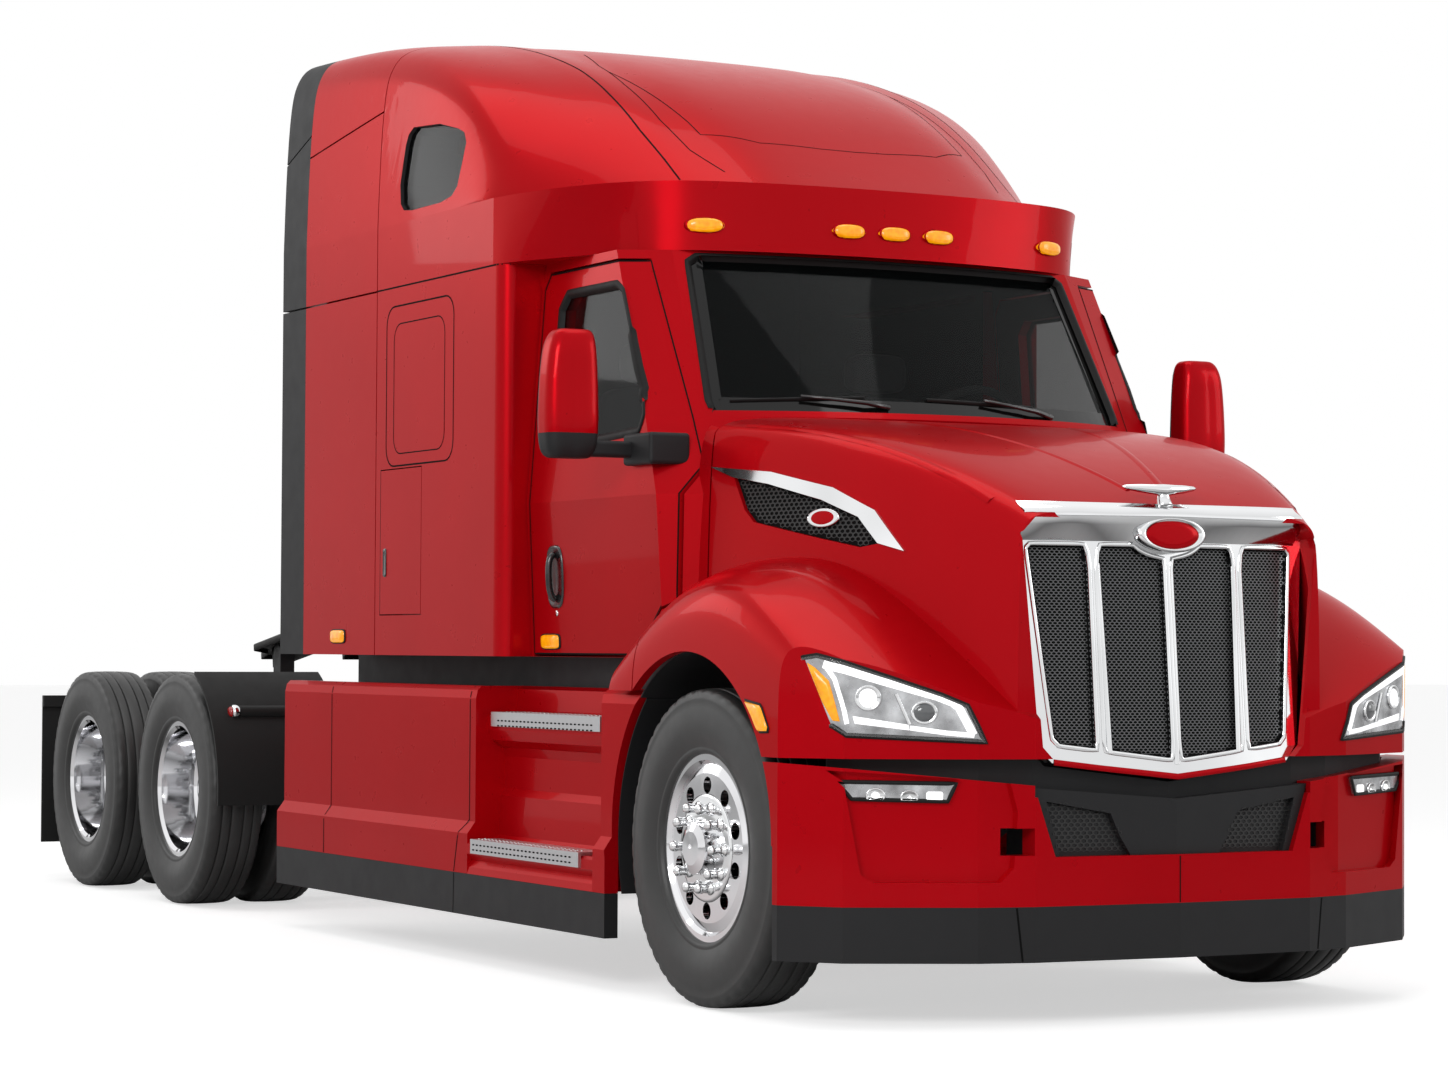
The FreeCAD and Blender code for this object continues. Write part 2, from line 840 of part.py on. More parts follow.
def fifth_wheel():
    """The coupling plate with its ramps and throat, tilted down at the rear."""
    body = doc.addObject("PartDesign::Body", "coupling_body")
    front = S.coupling_front
    rear = -S.coupling_rear
    half = S.coupling_half_width
    throat = S.coupling_bore
    plate = [
        (front, -half * 0.62),
        (front, half * 0.62),
        (front * 0.72, half),
        (rear * 0.42, half),
        (rear * 0.62, half * 0.74),
        (rear, half * 0.66),
        (rear, half * 0.34),
        (-throat * 5, throat),
        (ZERO, throat),
        (throat * 0.7, throat * 0.7),
        (throat, ZERO),
        (throat * 0.7, -throat * 0.7),
        (ZERO, -throat),
        (-throat * 5, -throat),
        (rear, -half * 0.34),
        (rear, -half * 0.66),
        (rear * 0.62, -half * 0.74),
        (rear * 0.42, -half),
        (front * 0.72, -half),
    ]
    low = S.coupling_rise - S.coupling_plate
    sketch = outline(body, "plate_outline", "XY_Plane", [plate], low)
    pad(body, "plate_pad", sketch, S.coupling_plate)
    stand_inner = S.rail_half_width - S.rail_flange
    rib_outer = stand_inner - S.fit_gap
    rib_inner = rib_outer - S.coupling_plate * 2
    ribs = []
    for sign in (1, -1):
        y = spread(rib_inner, rib_outer, sign)
        ribs.append([(rear * 0.5, y[0]), (front * 0.8, y[0]), (front * 0.8, y[1]), (rear * 0.5, y[1])])
    bottom = -S.coupling_pin_radius * 1.4
    sketch = outline(body, "rib_outline", "XY_Plane", ribs, bottom)
    body.Tip = pad(body, "rib_pad", sketch, low - bottom)
    reach = S.rail_flange - S.rail_web
    pieces = [body]
    for side, sign in (("left", 1), ("right", -1)):
        y = spread(rib_outer - S.coupling_plate, rib_outer + reach, sign)
        pieces.append(
            rod(f"coupling_pin_{side}", S.coupling_pin_radius, y[1] - y[0], (ZERO, y[0], ZERO), "Y")
        )
    plate_node = fuse("coupling_fused", pieces)
    plate_node.Label = "fifth_wheel"
    tilt = FreeCAD.Rotation(Vector(0, 1, 0), -float(S.coupling_tilt))
    plate_node.Placement = FreeCAD.Placement(Vector(), tilt)
    place(plate_node, AXLE_AHEAD - S.coupling_station, ZERO, S.coupling_pin_height)
    nodes.append(plate_node)


BEAM_TOP_SHARE = 0.52


def front_axle():
    """A forged I-beam with a dropped middle, kingpin bosses and leaf springs."""
    body = doc.addObject("PartDesign::Body", "beam_body")
    axle = S.tyre_radius
    top = axle + S.beam_depth * BEAM_TOP_SHARE
    low = top - S.beam_depth
    drop = S.beam_drop
    side = [
        (S.beam_drop_y * 0.9, low - drop),
        (S.kingpin_y - S.boss_radius * 2.2, low),
        (S.kingpin_y, low),
        (S.kingpin_y, top),
        (S.kingpin_y - S.boss_radius * 2.6, top),
        (S.beam_drop_y * 0.84, top - drop),
    ]
    beam = side + [(-y, z) for y, z in reversed(side)]
    sketch = outline(body, "beam_outline", "YZ_Plane", [beam])
    body.Tip = pad(body, "beam_pad", sketch, S.beam_width, "Symmetric")
    solids = [body]
    bores = []
    for side_name, sign in (("left", 1), ("right", -1)):
        y = S.kingpin_y * sign
        height = top - low + S.fork_gap
        solids.append(
            rod(f"boss_{side_name}", S.boss_radius, height, (ZERO, y, low - S.fork_gap * 0.5), "Z")
        )
        bore = S.kingpin_radius + S.pin_play
        bores.append(rod(f"boss_bore_{side_name}", bore, height * 3, (ZERO, y, low - height), "Z"))
    solid = fuse("beam_fused", solids)
    beam_cut = cut("beam_cut", solid, fuse("boss_bores", bores))
    springs = []
    for sign in (1, -1):
        springs.append(leaf_spring(sign, top - drop))
    spring = doc.addObject("Part::Feature", "leaf_springs")
    spring.Shape = Part.Compound(springs)
    spring.Placement = FreeCAD.Placement()
    node(fuse("front_axle_fused", [beam_cut, spring]), "front_axle")


def leaf_spring(sign, seat):
    """A bowed spring pack that rises from its seat to the rail at both ends."""
    reach = S.spring_reach
    thick = S.spring_thickness
    y = spread(S.rail_half_width - S.spring_width, S.rail_half_width, sign)
    rise = RAIL_BOTTOM - S.fit_gap - seat - thick
    points = [
        (-reach, seat + rise),
        (0, seat - rise * 0.06),
        (reach * 0.93, seat + rise),
        (reach * 0.93, seat + rise + thick),
        (0, seat + thick),
        (-reach, seat + rise + thick),
    ]
    return slab(points, "XZ", y[0], y[1], arcs=(1, 4))


def knuckle(label, sign):
    """The steering knuckle: a fork about the axle's boss, a pin and a spindle."""
    axle = S.tyre_radius
    top = axle + S.beam_depth * BEAM_TOP_SHARE + S.fork_gap
    low = top - S.beam_depth - S.fork_gap * 2
    thick = S.fork_thickness
    half = S.spindle_radius
    inner = S.kingpin_y + S.boss_radius + S.fork_gap
    outer = S.front_wheel_y - S.hub_depth - S.fork_gap
    fork_y = spread(S.kingpin_y - half, inner + thick, sign)
    web_y = spread(inner, outer, sign)
    pin_y = S.kingpin_y * sign
    spindle = spread(outer - S.fork_gap, S.front_wheel_y + S.hub_depth - S.fork_gap, sign)
    arm_y = spread(S.kingpin_y - S.arm_width * 0.5, S.kingpin_y + S.arm_width * 0.5, sign)
    pieces = [
        box(label + "_upper", (-half, half), fork_y, (top, top + thick)),
        box(label + "_lower", (-half, half), fork_y, (low - thick, low)),
        box(label + "_web", (-half, half), web_y, (low - thick, top + thick)),
        rod(label + "_pin", S.kingpin_radius, top - low + thick, (ZERO, pin_y, low - thick * 0.5), "Z"),
        rod(label + "_spindle", half, spindle[1] - spindle[0], (ZERO, spindle[0], axle), "Y"),
        box(label + "_arm", (-S.arm_length - S.arm_width, ZERO), arm_y, (low - thick, low - thick * 0.25)),
    ]
    node(fuse(label + "_fused", pieces), label)


def tie_rod():
    """The rod that joins the two steering arms behind the axle."""
    axle = S.tyre_radius
    low = axle + S.beam_depth * BEAM_TOP_SHARE - S.beam_depth - S.fork_gap
    arm_bottom = low - S.fork_thickness
    height = arm_bottom - S.tie_rod_radius * 2
    reach = S.kingpin_y + S.arm_width * 0.5
    pieces = [rod("tie_tube", S.tie_rod_radius, reach * 2, (-S.arm_length, -reach, height), "Y")]
    for name, sign in (("left", 1), ("right", -1)):
        start = (-S.arm_length, S.kingpin_y * sign, height)
        pieces.append(
            rod(f"tie_stud_{name}", S.tie_rod_radius * 0.8, S.tie_rod_radius * 2 - S.fit_gap, start, "Z")
        )
    node(fuse("tie_rod_fused", pieces), "tie_rod")


def drive_axles():
    """Two housings with their differentials, trailing arms and air springs."""
    made = []
    for name, station in (("forward", FORWARD_DRIVE), ("rear", REAR_DRIVE)):
        made += drive_axle(name, station)
    node(fuse("drive_axles_fused", made), "drive_axles")


def drive_axle(name, station):
    axle = S.tyre_radius
    tube_end = S.drive_wheel_y - S.dual_spacing * 0.92 - S.fork_gap
    spindle_end = S.drive_wheel_y - S.dual_spacing * 0.5 + S.hub_depth - S.fork_gap
    ball = doc.addObject("Part::Sphere", f"{name}_bulb")
    bind(ball, "Radius", S.differential_radius)
    place(ball, station, ZERO, axle)
    made = [
        rod(f"{name}_tube", S.axle_tube_radius, tube_end * 2, (station, -tube_end, axle), "Y"),
        rod(f"{name}_spindle", S.spindle_radius, spindle_end * 2, (station, -spindle_end, axle), "Y"),
        ball,
        rod(
            f"{name}_nose", S.pinion_radius, S.pinion_reach * 2, (station - S.pinion_reach, ZERO, axle),
            "X",
        ),
    ]
    offset = S.air_spring_offset
    deep = S.beam_arm_depth
    arm_top = axle - S.axle_tube_radius + deep * 0.4
    for side, sign in (("left", 1), ("right", -1)):
        middle = (S.rail_half_width - S.rail_flange * 0.5) * sign
        y = (middle - S.rail_flange * 0.5, middle + S.rail_flange * 0.5)
        x = (station - offset - S.air_spring_radius * 0.9, station + offset + deep)
        made.append(box(f"{name}_arm_{side}", x, y, (arm_top - deep, arm_top)))
        hanger = (station + offset, station + offset + deep)
        made.append(box(f"{name}_hanger_{side}", hanger, y, (arm_top - deep, RAIL_BOTTOM)))
        start = (station - offset, middle, arm_top - deep * 0.1)
        height = RAIL_BOTTOM - arm_top + deep * 0.1
        made.append(rod(f"{name}_bellows_{side}", S.air_spring_radius, height, start, "Z"))
    return made


def driveline():
    """The engine as one block, its gearbox and the shafts to both axles."""
    rear = S.engine_front - S.engine_length
    half = S.engine_width * 0.5
    engine = box(
        "engine_block", (rear, S.engine_front), (-half, half),
        (S.engine_bottom, S.engine_bottom + S.engine_height),
    )
    node(fuse("engine_fused", [engine, engine_mounts()]), "engine")
    box_half = S.gearbox_width * 0.5
    gear_low = S.tyre_radius - S.gearbox_height * 0.25
    gear_rear = rear - S.gearbox_length
    gearbox = box(
        "gearbox_case", (gear_rear, rear), (-box_half, box_half), (gear_low, gear_low + S.gearbox_height),
    )
    first = FORWARD_DRIVE + S.pinion_reach
    main = rod("main_shaft", S.shaft_radius, gear_rear - first, (first, ZERO, S.tyre_radius), "X")
    second = REAR_DRIVE + S.pinion_reach
    link = rod(
        "tandem_shaft", S.shaft_radius, FORWARD_DRIVE - S.pinion_reach - second,
        (second, ZERO, S.tyre_radius), "X",
    )
    node(fuse("driveline_fused", [gearbox, main, link]), "driveline")


def engine_mounts():
    """A bracket on each side that rests the engine on the rails' lower flange."""
    half = S.rail_half_width - S.rail_web
    x = (S.engine_front - S.engine_length * 0.55, S.engine_front - S.engine_length * 0.4)
    z = (RAIL_BOTTOM + S.rail_web, RAIL_BOTTOM + S.rail_web * 5)
    return box("engine_mount", x, (-half, half), z)


def cooler():
    """The radiator's core between two side tanks, standing on the rails."""
    half = S.cooler_width * 0.5
    x = (S.cooler_front - S.cooler_depth, S.cooler_front)
    z = (S.rail_top, S.rail_top + S.cooler_height)
    tank = S.cooler_depth * 0.6
    core = (x[0] + tank * 0.2, x[1] - tank * 0.2)
    pieces = [box("cooler_core", core, (-half + tank * 0.5, half - tank * 0.5), z)]
    for side, sign in (("left", 1), ("right", -1)):
        pieces.append(box(f"cooler_tank_{side}", x, spread(half - tank, half, sign), z))
    node(fuse("cooler_fused", pieces), "radiator")


# Cab, as panels between two skins that follow the same plan curves

def cab_skin(inset, low, high):
    """The cab's outer form, drawn in by an inset on every side."""
    rear = SLEEPER_FRONT + S.fit_gap
    wires = []
    for height, centre, corner, half, side in cab_levels():
        points = [
            (-centre - inset, 0),
            (-corner - inset, half - inset),
            (-(corner + (side - half) * 0.55) - inset, side - inset),
            (rear, side - inset),
        ]
        wires.append(plan_wire(points, height))
    lower = Part.makeLoft(wires[:3], True, True)
    upper = Part.makeLoft(wires[2:], True, True)
    solid = lower.fuse(upper)
    limits = block(
        (-S.wheelbase, S.front_reach), (-S.sleeper_half_width * 2, S.sleeper_half_width * 2), (low, high),
    )
    return solid.common(limits)


def cab_levels():
    """Height, centre setback, corner setback, corner and side half-widths."""
    low_centre = S.cowl_centre_back + S.body_wall
    return (
        (
            S.body_floor, low_centre, S.cowl_corner_back - S.body_wall * 2, S.cowl_half_width * 1.05,
            S.cab_low_half_width,
        ),
        (
            S.belt_height, low_centre, S.cowl_corner_back - S.body_wall * 2, S.cowl_half_width * 1.04,
            S.cab_belt_half_width,
        ),
        (
            S.cowl_height, S.cowl_centre_back, S.cowl_corner_back, S.cowl_half_width,
            cab_half_width(S.cowl_height),
        ),
        (
            S.eave_height, S.header_centre_back, S.header_corner_back, S.header_half_width,
            S.cab_top_half_width,
        ),
    )


def cab_half_width(height):
    """The cab side's distance from the centre plane at a height over the belt."""
    rise = (height - S.belt_height) / (S.eave_height - S.belt_height)
    return S.cab_belt_half_width + (S.cab_top_half_width - S.cab_belt_half_width) * rise


DOOR_SHARES = (
    (0.00, 0.14), (0.00, 0.60), (0.21, 0.95), (0.29, 1.00),
    (0.96, 1.00), (1.00, 0.96), (1.00, 0.006), (0.21, 0.006),
)
WINDOW_SHARES = (
    (0.20, 0.665), (0.175, 0.60), (0.20, 0.565), (0.80, 0.545), (0.855, 0.58),
    (0.855, 0.90), (0.81, 0.935), (0.44, 0.935), (0.39, 0.915),
)


def on_door(shares, grow):
    """Turns shares of the door's length and height into places on its side view."""
    height = S.door_top - S.body_floor
    points = [(DOOR_FRONT - S.door_length * a, S.body_floor + height * b) for a, b in shares]
    return grown(points, grow)


def side_prism(points, inner, outer):
    return slab(points, "XZ", inner, outer)


SCREEN_SHARES = (
    (-0.955, 0.035), (0.955, 0.035), (0.965, 0.10), (0.94, 0.93), (0.90, 0.965), (-0.90, 0.965),
    (-0.94, 0.93), (-0.965, 0.10),
)


def screen_outline(grow):
    """The windscreen seen from the front, as (y, z)."""
    height = S.eave_height - S.cowl_height
    points = []
    for across, up in SCREEN_SHARES:
        half = S.cowl_half_width + (S.header_half_width - S.cowl_half_width) * up
        points.append((half * across, S.cowl_height + height * up))
    return grown(points, grow)


def cab():
    """The cab's shell, doors, glass and windscreen."""
    low = S.body_floor
    high = S.eave_height
    outer = cab_skin(ZERO, low, high)
    inner = cab_skin(S.body_wall, low + S.body_wall, high)
    shell = outer.cut(inner)
    reach = S.sleeper_half_width
    half = S.cab_top_half_width * 0.9
    doorway = on_door(DOOR_SHARES, S.panel_gap)
    door_zone = [on_door(DOOR_SHARES, ZERO), on_door(WINDOW_SHARES, ZERO)]
    opening = both_sides(side_prism(doorway, half, reach))
    screen_hole = slab(screen_outline(ZERO), "YZ", -S.header_corner_back * 1.3, ZERO)
    body = shell.cut(opening).cut(screen_hole)
    feature("cab_shell", solids_of(body))
    door = shell.common(side_prism(door_zone[0], half, reach)).cut(side_prism(door_zone[1], half, reach))
    door = solids_of(door)
    layer = cab_skin(S.glass_inset, low, high).cut(cab_skin(S.glass_inset + S.glass_thickness, low, high))
    pane = layer.common(side_prism(on_door(WINDOW_SHARES, -S.fit_gap), half, reach))
    for side in ("left", "right"):
        feature(f"door_{side}", door if side == "left" else mirrored(door))
        feature(f"door_glass_{side}", solids_of(pane) if side == "left" else mirrored(solids_of(pane)))
    screen = layer.common(slab(screen_outline(-S.fit_gap), "YZ", -S.header_corner_back * 1.3, ZERO))
    feature("windshield", solids_of(screen))


# Sleeper, roof and fairings

ROOF_BACK_SHARES = (
    # from the visor's brow to the rear, for each row over the roof, foot first
    (0.353, 0.33, 0.283, 0.232, 0.176, 0.118, 0.081, 0.051, 0.017, 0.008),
    (0.396, 0.333, 0.292, 0.259, 0.211, 0.169, 0.139, 0.112, 0.078, 0.071),
    (0.454, 0.368, 0.34, 0.322, 0.283, 0.249, 0.225, 0.203, 0.168, 0.162),
    (0.526, 0.432, 0.414, 0.41, 0.392, 0.374, 0.352, 0.34, 0.3, 0.291),
    (0.609, 0.534, 0.529, 0.533, 0.531, 0.525, 0.508, 0.503, 0.469, 0.461),
    (0.722, 0.678, 0.676, 0.68, 0.682, 0.68, 0.669, 0.66, 0.641, 0.64),
    (0.861, 0.845, 0.84, 0.84, 0.841, 0.84, 0.835, 0.829, 0.821, 0.82),
    (1.0, 1.0, 1.0, 1.0, 1.0, 1.0, 1.0, 1.0, 1.0, 1.0),
)
ROOF_OUT_SHARES = (1.0, 0.988, 0.955, 0.895, 0.8, 0.69, 0.61, 0.515, 0.4, 0.14)
ROOF_RISE_SHARES = (
    (0.0, 0.0, 0.0, 0.0, 0.0, 0.0, 0.0, 0.0, 0.0, 0.0),
    (0.0, 0.093, 0.112, 0.126, 0.14, 0.148, 0.155, 0.145, 0.143, 0.144),
    (0.0, 0.242, 0.316, 0.352, 0.376, 0.392, 0.403, 0.385, 0.379, 0.382),
    (0.0, 0.423, 0.537, 0.591, 0.621, 0.637, 0.647, 0.627, 0.619, 0.619),
    (0.0, 0.552, 0.695, 0.769, 0.801, 0.817, 0.827, 0.812, 0.807, 0.809),
    (0.0, 0.625, 0.801, 0.884, 0.916, 0.93, 0.936, 0.928, 0.926, 0.928),
    (0.0, 0.674, 0.865, 0.942, 0.967, 0.98, 0.985, 0.984, 0.986, 0.986),
    (0.0, 0.703, 0.895, 0.968, 0.987, 0.996, 0.998, 0.999, 1.0, 1.0),
)
BROW_SHARES = (
    # back and out, for the visor's upper edge
    (0.300, 1.0), (0.245, 0.978), (0.193, 0.944), (0.126, 0.878),
    (0.072, 0.780), (0.036, 0.655), (0.016, 0.415), (0.008, 0.136),
)
VISOR_FOOT_SHARES = (
    # back and out, for the visor's lower edge
    (0.300, 1.0), (0.272, 0.992), (0.238, 0.955), (0.150, 0.858),
    (0.083, 0.790), (0.044, 0.690), (0.016, 0.440), (0.003, 0.144),
)
BROW = S.eave_height + S.visor_height
BROW_FRONT = -S.visor_centre_back


def roof_place(back, out, inset):
    """A plan point of the roof, drawn in by an inset, as (x, y)."""
    x = BROW_FRONT + (EDGE_REAR - BROW_FRONT) * back
    keep = max(0, 1 - back * 4)
    return x - inset * keep, S.sleeper_half_width * out - inset


def dome(inset):
    """The roof over the brow: one smooth skin from wall to wall."""
    rows = []
    rise = S.roof_height - BROW
    for backs, ups in zip(ROOF_BACK_SHARES, ROOF_RISE_SHARES):
        half = []
        for back, out, up in zip(backs, ROOF_OUT_SHARES, ups):
            lip = S.brow_lip * (1 - up) * max(0, 1 - back * 4)
            x, y = roof_place(back, out, inset)
            z = BROW + rise * up - (inset if up > 0 else 0)
            half.append(Vector(float(x - lip), float(y - lip * 0.4), float(z)))
        rows.append([Vector(v.x, -v.y, v.z) for v in half] + list(reversed(half)))
    return hull_skin(rows)


def spline_edge(points):
    """One smooth edge drawn through the given poles."""
    knots, times = uniform_knots(len(points), 3)
    curve = Part.BSplineCurve()
    curve.buildFromPolesMultsKnots(points, times, knots, False, 3)
    return curve.toShape()


def brow_wire(shares, height, inset):
    """The plan of the upper body at one height, round the visor and back."""
    half = []
    for back, out in shares:
        x, y = roof_place(back, out, inset)
        half.append(Vector(float(x), float(y), float(height)))
    right = [Vector(v.x, -v.y, v.z) for v in half]
    nose = spline_edge(right + list(reversed(half)))
    rear = [Vector(float(EDGE_REAR), v.y, v.z) for v in (half[0], right[0])]
    sides = [
        Part.LineSegment(half[0], rear[0]).toShape(),
        Part.LineSegment(rear[0], rear[1]).toShape(),
        Part.LineSegment(rear[1], right[0]).toShape(),
    ]
    return Part.Wire([nose] + sides)


def visor(grow):
    """The upright band under the dome, which juts out over the windscreen."""
    base = brow_wire(VISOR_FOOT_SHARES, S.eave_height, -grow)
    return Part.makeLoft([base, brow_wire(BROW_SHARES, BROW, -grow)], True, True)


def house(inset):
    """The whole upper body: the visor band, the walls behind it and the dome."""
    return visor(-inset).fuse(dome(inset)).removeSplitter()


def walls(inset, rear, low, high):
    half = S.sleeper_half_width - inset
    return block((rear, SEAM), (-half, half), (low, high))


def roof():
    """The high roof with its visor and side windows."""
    high = (S.eave_height, S.roof_height * 2)
    ahead = block((SEAM, S.front_reach), (-S.front_reach * 2, S.front_reach * 2), high)
    whole = house(ZERO)
    outer = whole.common(ahead)
    inside = house(S.roof_wall)
    reach = S.cab_top_half_width - S.body_wall
    front = -S.header_corner_back - S.body_wall * 2
    room = block((SEAM - S.overrun, front), (-reach, reach), high).common(inside)
    hole = block(
        (SEAM - S.overrun, front), (-reach, reach),
        (S.eave_height - S.overrun * 0.1, S.eave_height + S.roof_wall),
    )
    body = outer.cut(room).cut(hole)
    roof_lamps(outer)
    window = roof_window(ZERO)
    feature("roof_cap", solids_of(body.cut(both_sides(window))))
    pane = roof_window(-S.fit_gap).common(block((EDGE_REAR, ZERO), (reach, S.front_reach * 2), high))
    skin = house(S.glass_inset).cut(house(S.glass_inset + S.glass_thickness * 2))
    feature("sleeper_windows", both_sides(solids_of(pane.common(skin))))


LAMP_PLACES = (-0.85, -0.22, 0, 0.22, 0.85)


def roof_lamps(outer):
    """Five oval marker lamps on the visor's face."""
    grown_visor = visor(S.panel_gap).cut(outer)
    height = S.eave_height + S.visor_height * 0.36
    reach = S.header_corner_back * 1.2
    made = []
    for share in LAMP_PLACES:
        oval = Part.Ellipse(Vector(), float(S.mirror_arm), float(S.mirror_arm * 0.4)).toShape()
        face = Part.Face(Part.Wire([oval]))
        face.rotate(Vector(), Vector(0, 0, 1), 90)
        face.rotate(Vector(), Vector(0, 1, 0), 90)
        face.translate(Vector(-float(reach), float(S.visor_corner_half_width * share), float(height)))
        made.append(largest(grown_visor.common(face.extrude(Vector(float(reach), 0, 0)))))
    feature("roof_lamps", Part.Compound(made))


ROOF_WINDOW_SHARES = (
    # along and up shares round the roof window
    (0.176, 0.367), (0.206, 0.508), (0.224, 0.544), (0.262, 0.565), (0.466, 0.549), (0.610, 0.512),
    (0.655, 0.492), (0.676, 0.455), (0.664, 0.395), (0.638, 0.305), (0.600, 0.275), (0.514, 0.262),
    (0.280, 0.262), (0.215, 0.270), (0.187, 0.296),
)


def roof_window(grow):
    length = S.sleeper_side_length
    rise = S.roof_height - S.eave_height
    points = [(SEAM + length * a, S.eave_height + rise * b) for a, b in ROOF_WINDOW_SHARES]
    return slab(grown(points, grow), "XZ", S.cab_top_half_width * 0.8, S.sleeper_half_width * 1.2)


def rounded_plan(x, half, corner, z):
    """A block between two stations with rounded upright edges at its front."""
    solid = block(x, (-half, half), z)
    edges = []
    for edge in solid.Edges:
        ends = [vertex.Point for vertex in edge.Vertexes]
        upright = abs(ends[0].x - ends[1].x) + abs(ends[0].y - ends[1].y) < corner * 0.01
        if upright and abs(ends[0].x - float(x[1])) < corner * 0.01:
            edges.append(edge)
    return solid.makeFillet(float(corner), edges)


def hatch_span():
    """Front and rear station and heights of the baggage hatch."""
    rear = SEAM + S.panel_gap * 6
    return (rear, rear + S.hatch_width), (S.hatch_bottom, S.hatch_bottom + S.hatch_height)


def sleeper():
    """The sleeping cabin's walls below the roof, and its narrower rear part."""
    wall = S.body_wall
    low = S.body_floor
    z = (low, S.eave_height)
    half = S.sleeper_half_width
    lower = rounded_plan((SEAM, SLEEPER_FRONT), half, S.sleeper_corner, z)
    core = block((SLEEPER_REAR, SEAM), (-S.core_half_width, S.core_half_width), (low, S.core_height))
    outer = lower.fuse(core)
    room = block(
        (SLEEPER_REAR + wall, SLEEPER_FRONT - wall), (-half + wall * 1.8, half - wall * 1.8),
        (low + wall, S.eave_height + wall),
    )
    opening = block(
        (SLEEPER_FRONT - wall * 2, SLEEPER_FRONT + wall),
        (-S.cab_top_half_width * 0.9, S.cab_top_half_width * 0.9), (low + wall, S.eave_height + wall),
    )
    upper = block(
        (SLEEPER_REAR + wall, SEAM + wall), (-S.core_half_width + wall, S.core_half_width - wall),
        (low + wall, S.core_height - wall),
    )
    x, heights = hatch_span()
    deep = half - S.hatch_thickness
    hatch_hole = block(x, (deep, half + wall), heights)
    way_in = block(
        (x[0] + wall * 0.5, x[1] - wall * 0.5), (half - wall * 3, half),
        (heights[0] + wall * 0.5, heights[1] - wall * 0.5),
    )
    body = outer.cut(room).cut(opening).cut(upper)
    body = body.cut(both_sides(hatch_hole.fuse(way_in)))
    feature("sleeper_shell", solids_of(body))
    gap = S.panel_gap * 0.6
    hatch = block((x[0] + gap, x[1] - gap), (deep + S.fit_gap, half), (heights[0] + gap, heights[1] - gap))
    feature("baggage_door_left", hatch)
    feature("baggage_door_right", mirrored(hatch))


def fairings():
    """Side fairings behind the seam, and the flexible edges that end them."""
    wide = S.front_reach * 2
    skin_depth = S.sleeper_half_width - S.core_half_width - S.fit_gap
    under = block(
        (EDGE_REAR * 2, ZERO),
        (-S.core_half_width - S.fit_gap, S.core_half_width + S.fit_gap),
        (ZERO, S.core_height + S.fit_gap),
    )
    eave = S.eave_height + S.fit_gap
    behind = block((EDGE_REAR, SEAM - S.panel_gap), (-wide, wide), (ZERO, S.roof_height * 2))
    form = house(ZERO).fuse(walls(ZERO, EDGE_REAR, S.body_floor, eave)).common(behind)
    hollow = house(skin_depth).fuse(walls(skin_depth, EDGE_REAR * 2, ZERO, eave))
    band = form.cut(hollow).cut(under)
    gap = S.panel_gap
    panel_x = (FAIRING_REAR, SEAM)
    edge_x = (EDGE_REAR, FAIRING_REAR - S.fit_gap)
    lift = (S.roof_height - S.eave_height) * 0.62
    slope = S.fairing_length * 0.12
    cuts = (
        (S.body_floor - gap, S.eave_height - gap, 0),
        (S.eave_height, S.eave_height + lift - gap, slope),
        (S.eave_height + lift, S.roof_height * 2, slope),
    )
    for label, x in (("side_fairings", panel_x), ("fairing_edges", edge_x)):
        pieces = []
        for index, (low, high, tilt) in enumerate(cuts):
            start = slope if index == 2 else 0
            outline_points = [
                (x[0], low - start * 0.5), (x[1], low + start * 0.5),
                (x[1], high + tilt * 0.5), (x[0], high - tilt * 0.5),
            ]
            pieces += band.common(slab(outline_points, "XZ", -wide, wide)).Solids
        feature(label, Part.Compound(pieces))


# Hood and everything that tilts with it

NOSE_PLAN_SHARES = ((1.0, 0.0), (0.975, 0.43), (0.930, 0.577), (0.75, 0.885), (0.585, 1.0))


def nose_outline(inset, rear):
    """The plan of the vehicle's nose, from the centre round to the side."""
    points = []
    for ahead, out in NOSE_PLAN_SHARES:
        points.append(((S.front_reach - inset) * ahead, (S.fender_half_width - inset) * out))
    side = S.fender_half_width - inset
    left = points + [(rear, side)]
    return left + [(x, -y) for x, y in reversed(left) if y > 0]


def nose_prism(inset, rear, low, high):
    return slab(nose_outline(inset, rear), "XY", low, high)


HOOD_ROWS = (
    # station share, top share, crease half-width share, flank half-width share
    (0.0, 1.0, 0.725, 0.775),
    (0.30, 0.93, 0.66, 0.735),
    (0.62, 0.72, 0.575, 0.66),
    (0.88, 0.27, 0.49, 0.545),
    (1.0, 0.0, 0.452, 0.475),
)


def nacelle(inset):
    """The hood's middle, which narrows and falls towards the grille."""
    rear = -S.hood_rear_back
    length = S.front_reach * 0.955 - rear
    rows = []
    for along, up, crease, flank in HOOD_ROWS:
        x = rear + length * along
        top = S.hood_nose_top + (S.hood_top - S.hood_nose_top) * up - inset
        wide = S.fender_half_width * flank - inset
        edge = S.fender_half_width * crease - inset
        fall = S.hood_wall
        half = [
            (wide, S.hood_low),
            (wide, S.hood_low + (top - S.hood_low) * 0.5),
            (wide - (wide - edge) * 0.4, top - fall * 3),
            (edge, top - fall),
            (edge * 0.86, top - fall * 0.1),
            (edge * 0.4, top),
        ]
        rows.append(mirrored_row(x, half))
    return hull_skin(rows)


FENDER_ROWS = (
    # station share from the rear to the nose, crest share, outer edge share
    (0.0, 0.60, 0.40),
    (0.16, 0.93, 0.66),
    (0.34, 1.04, 0.84),
    (0.54, 1.02, 0.80),
    (0.72, 0.78, 0.60),
    (0.88, 0.46, 0.40),
    (1.0, 0.18, 0.16),
)


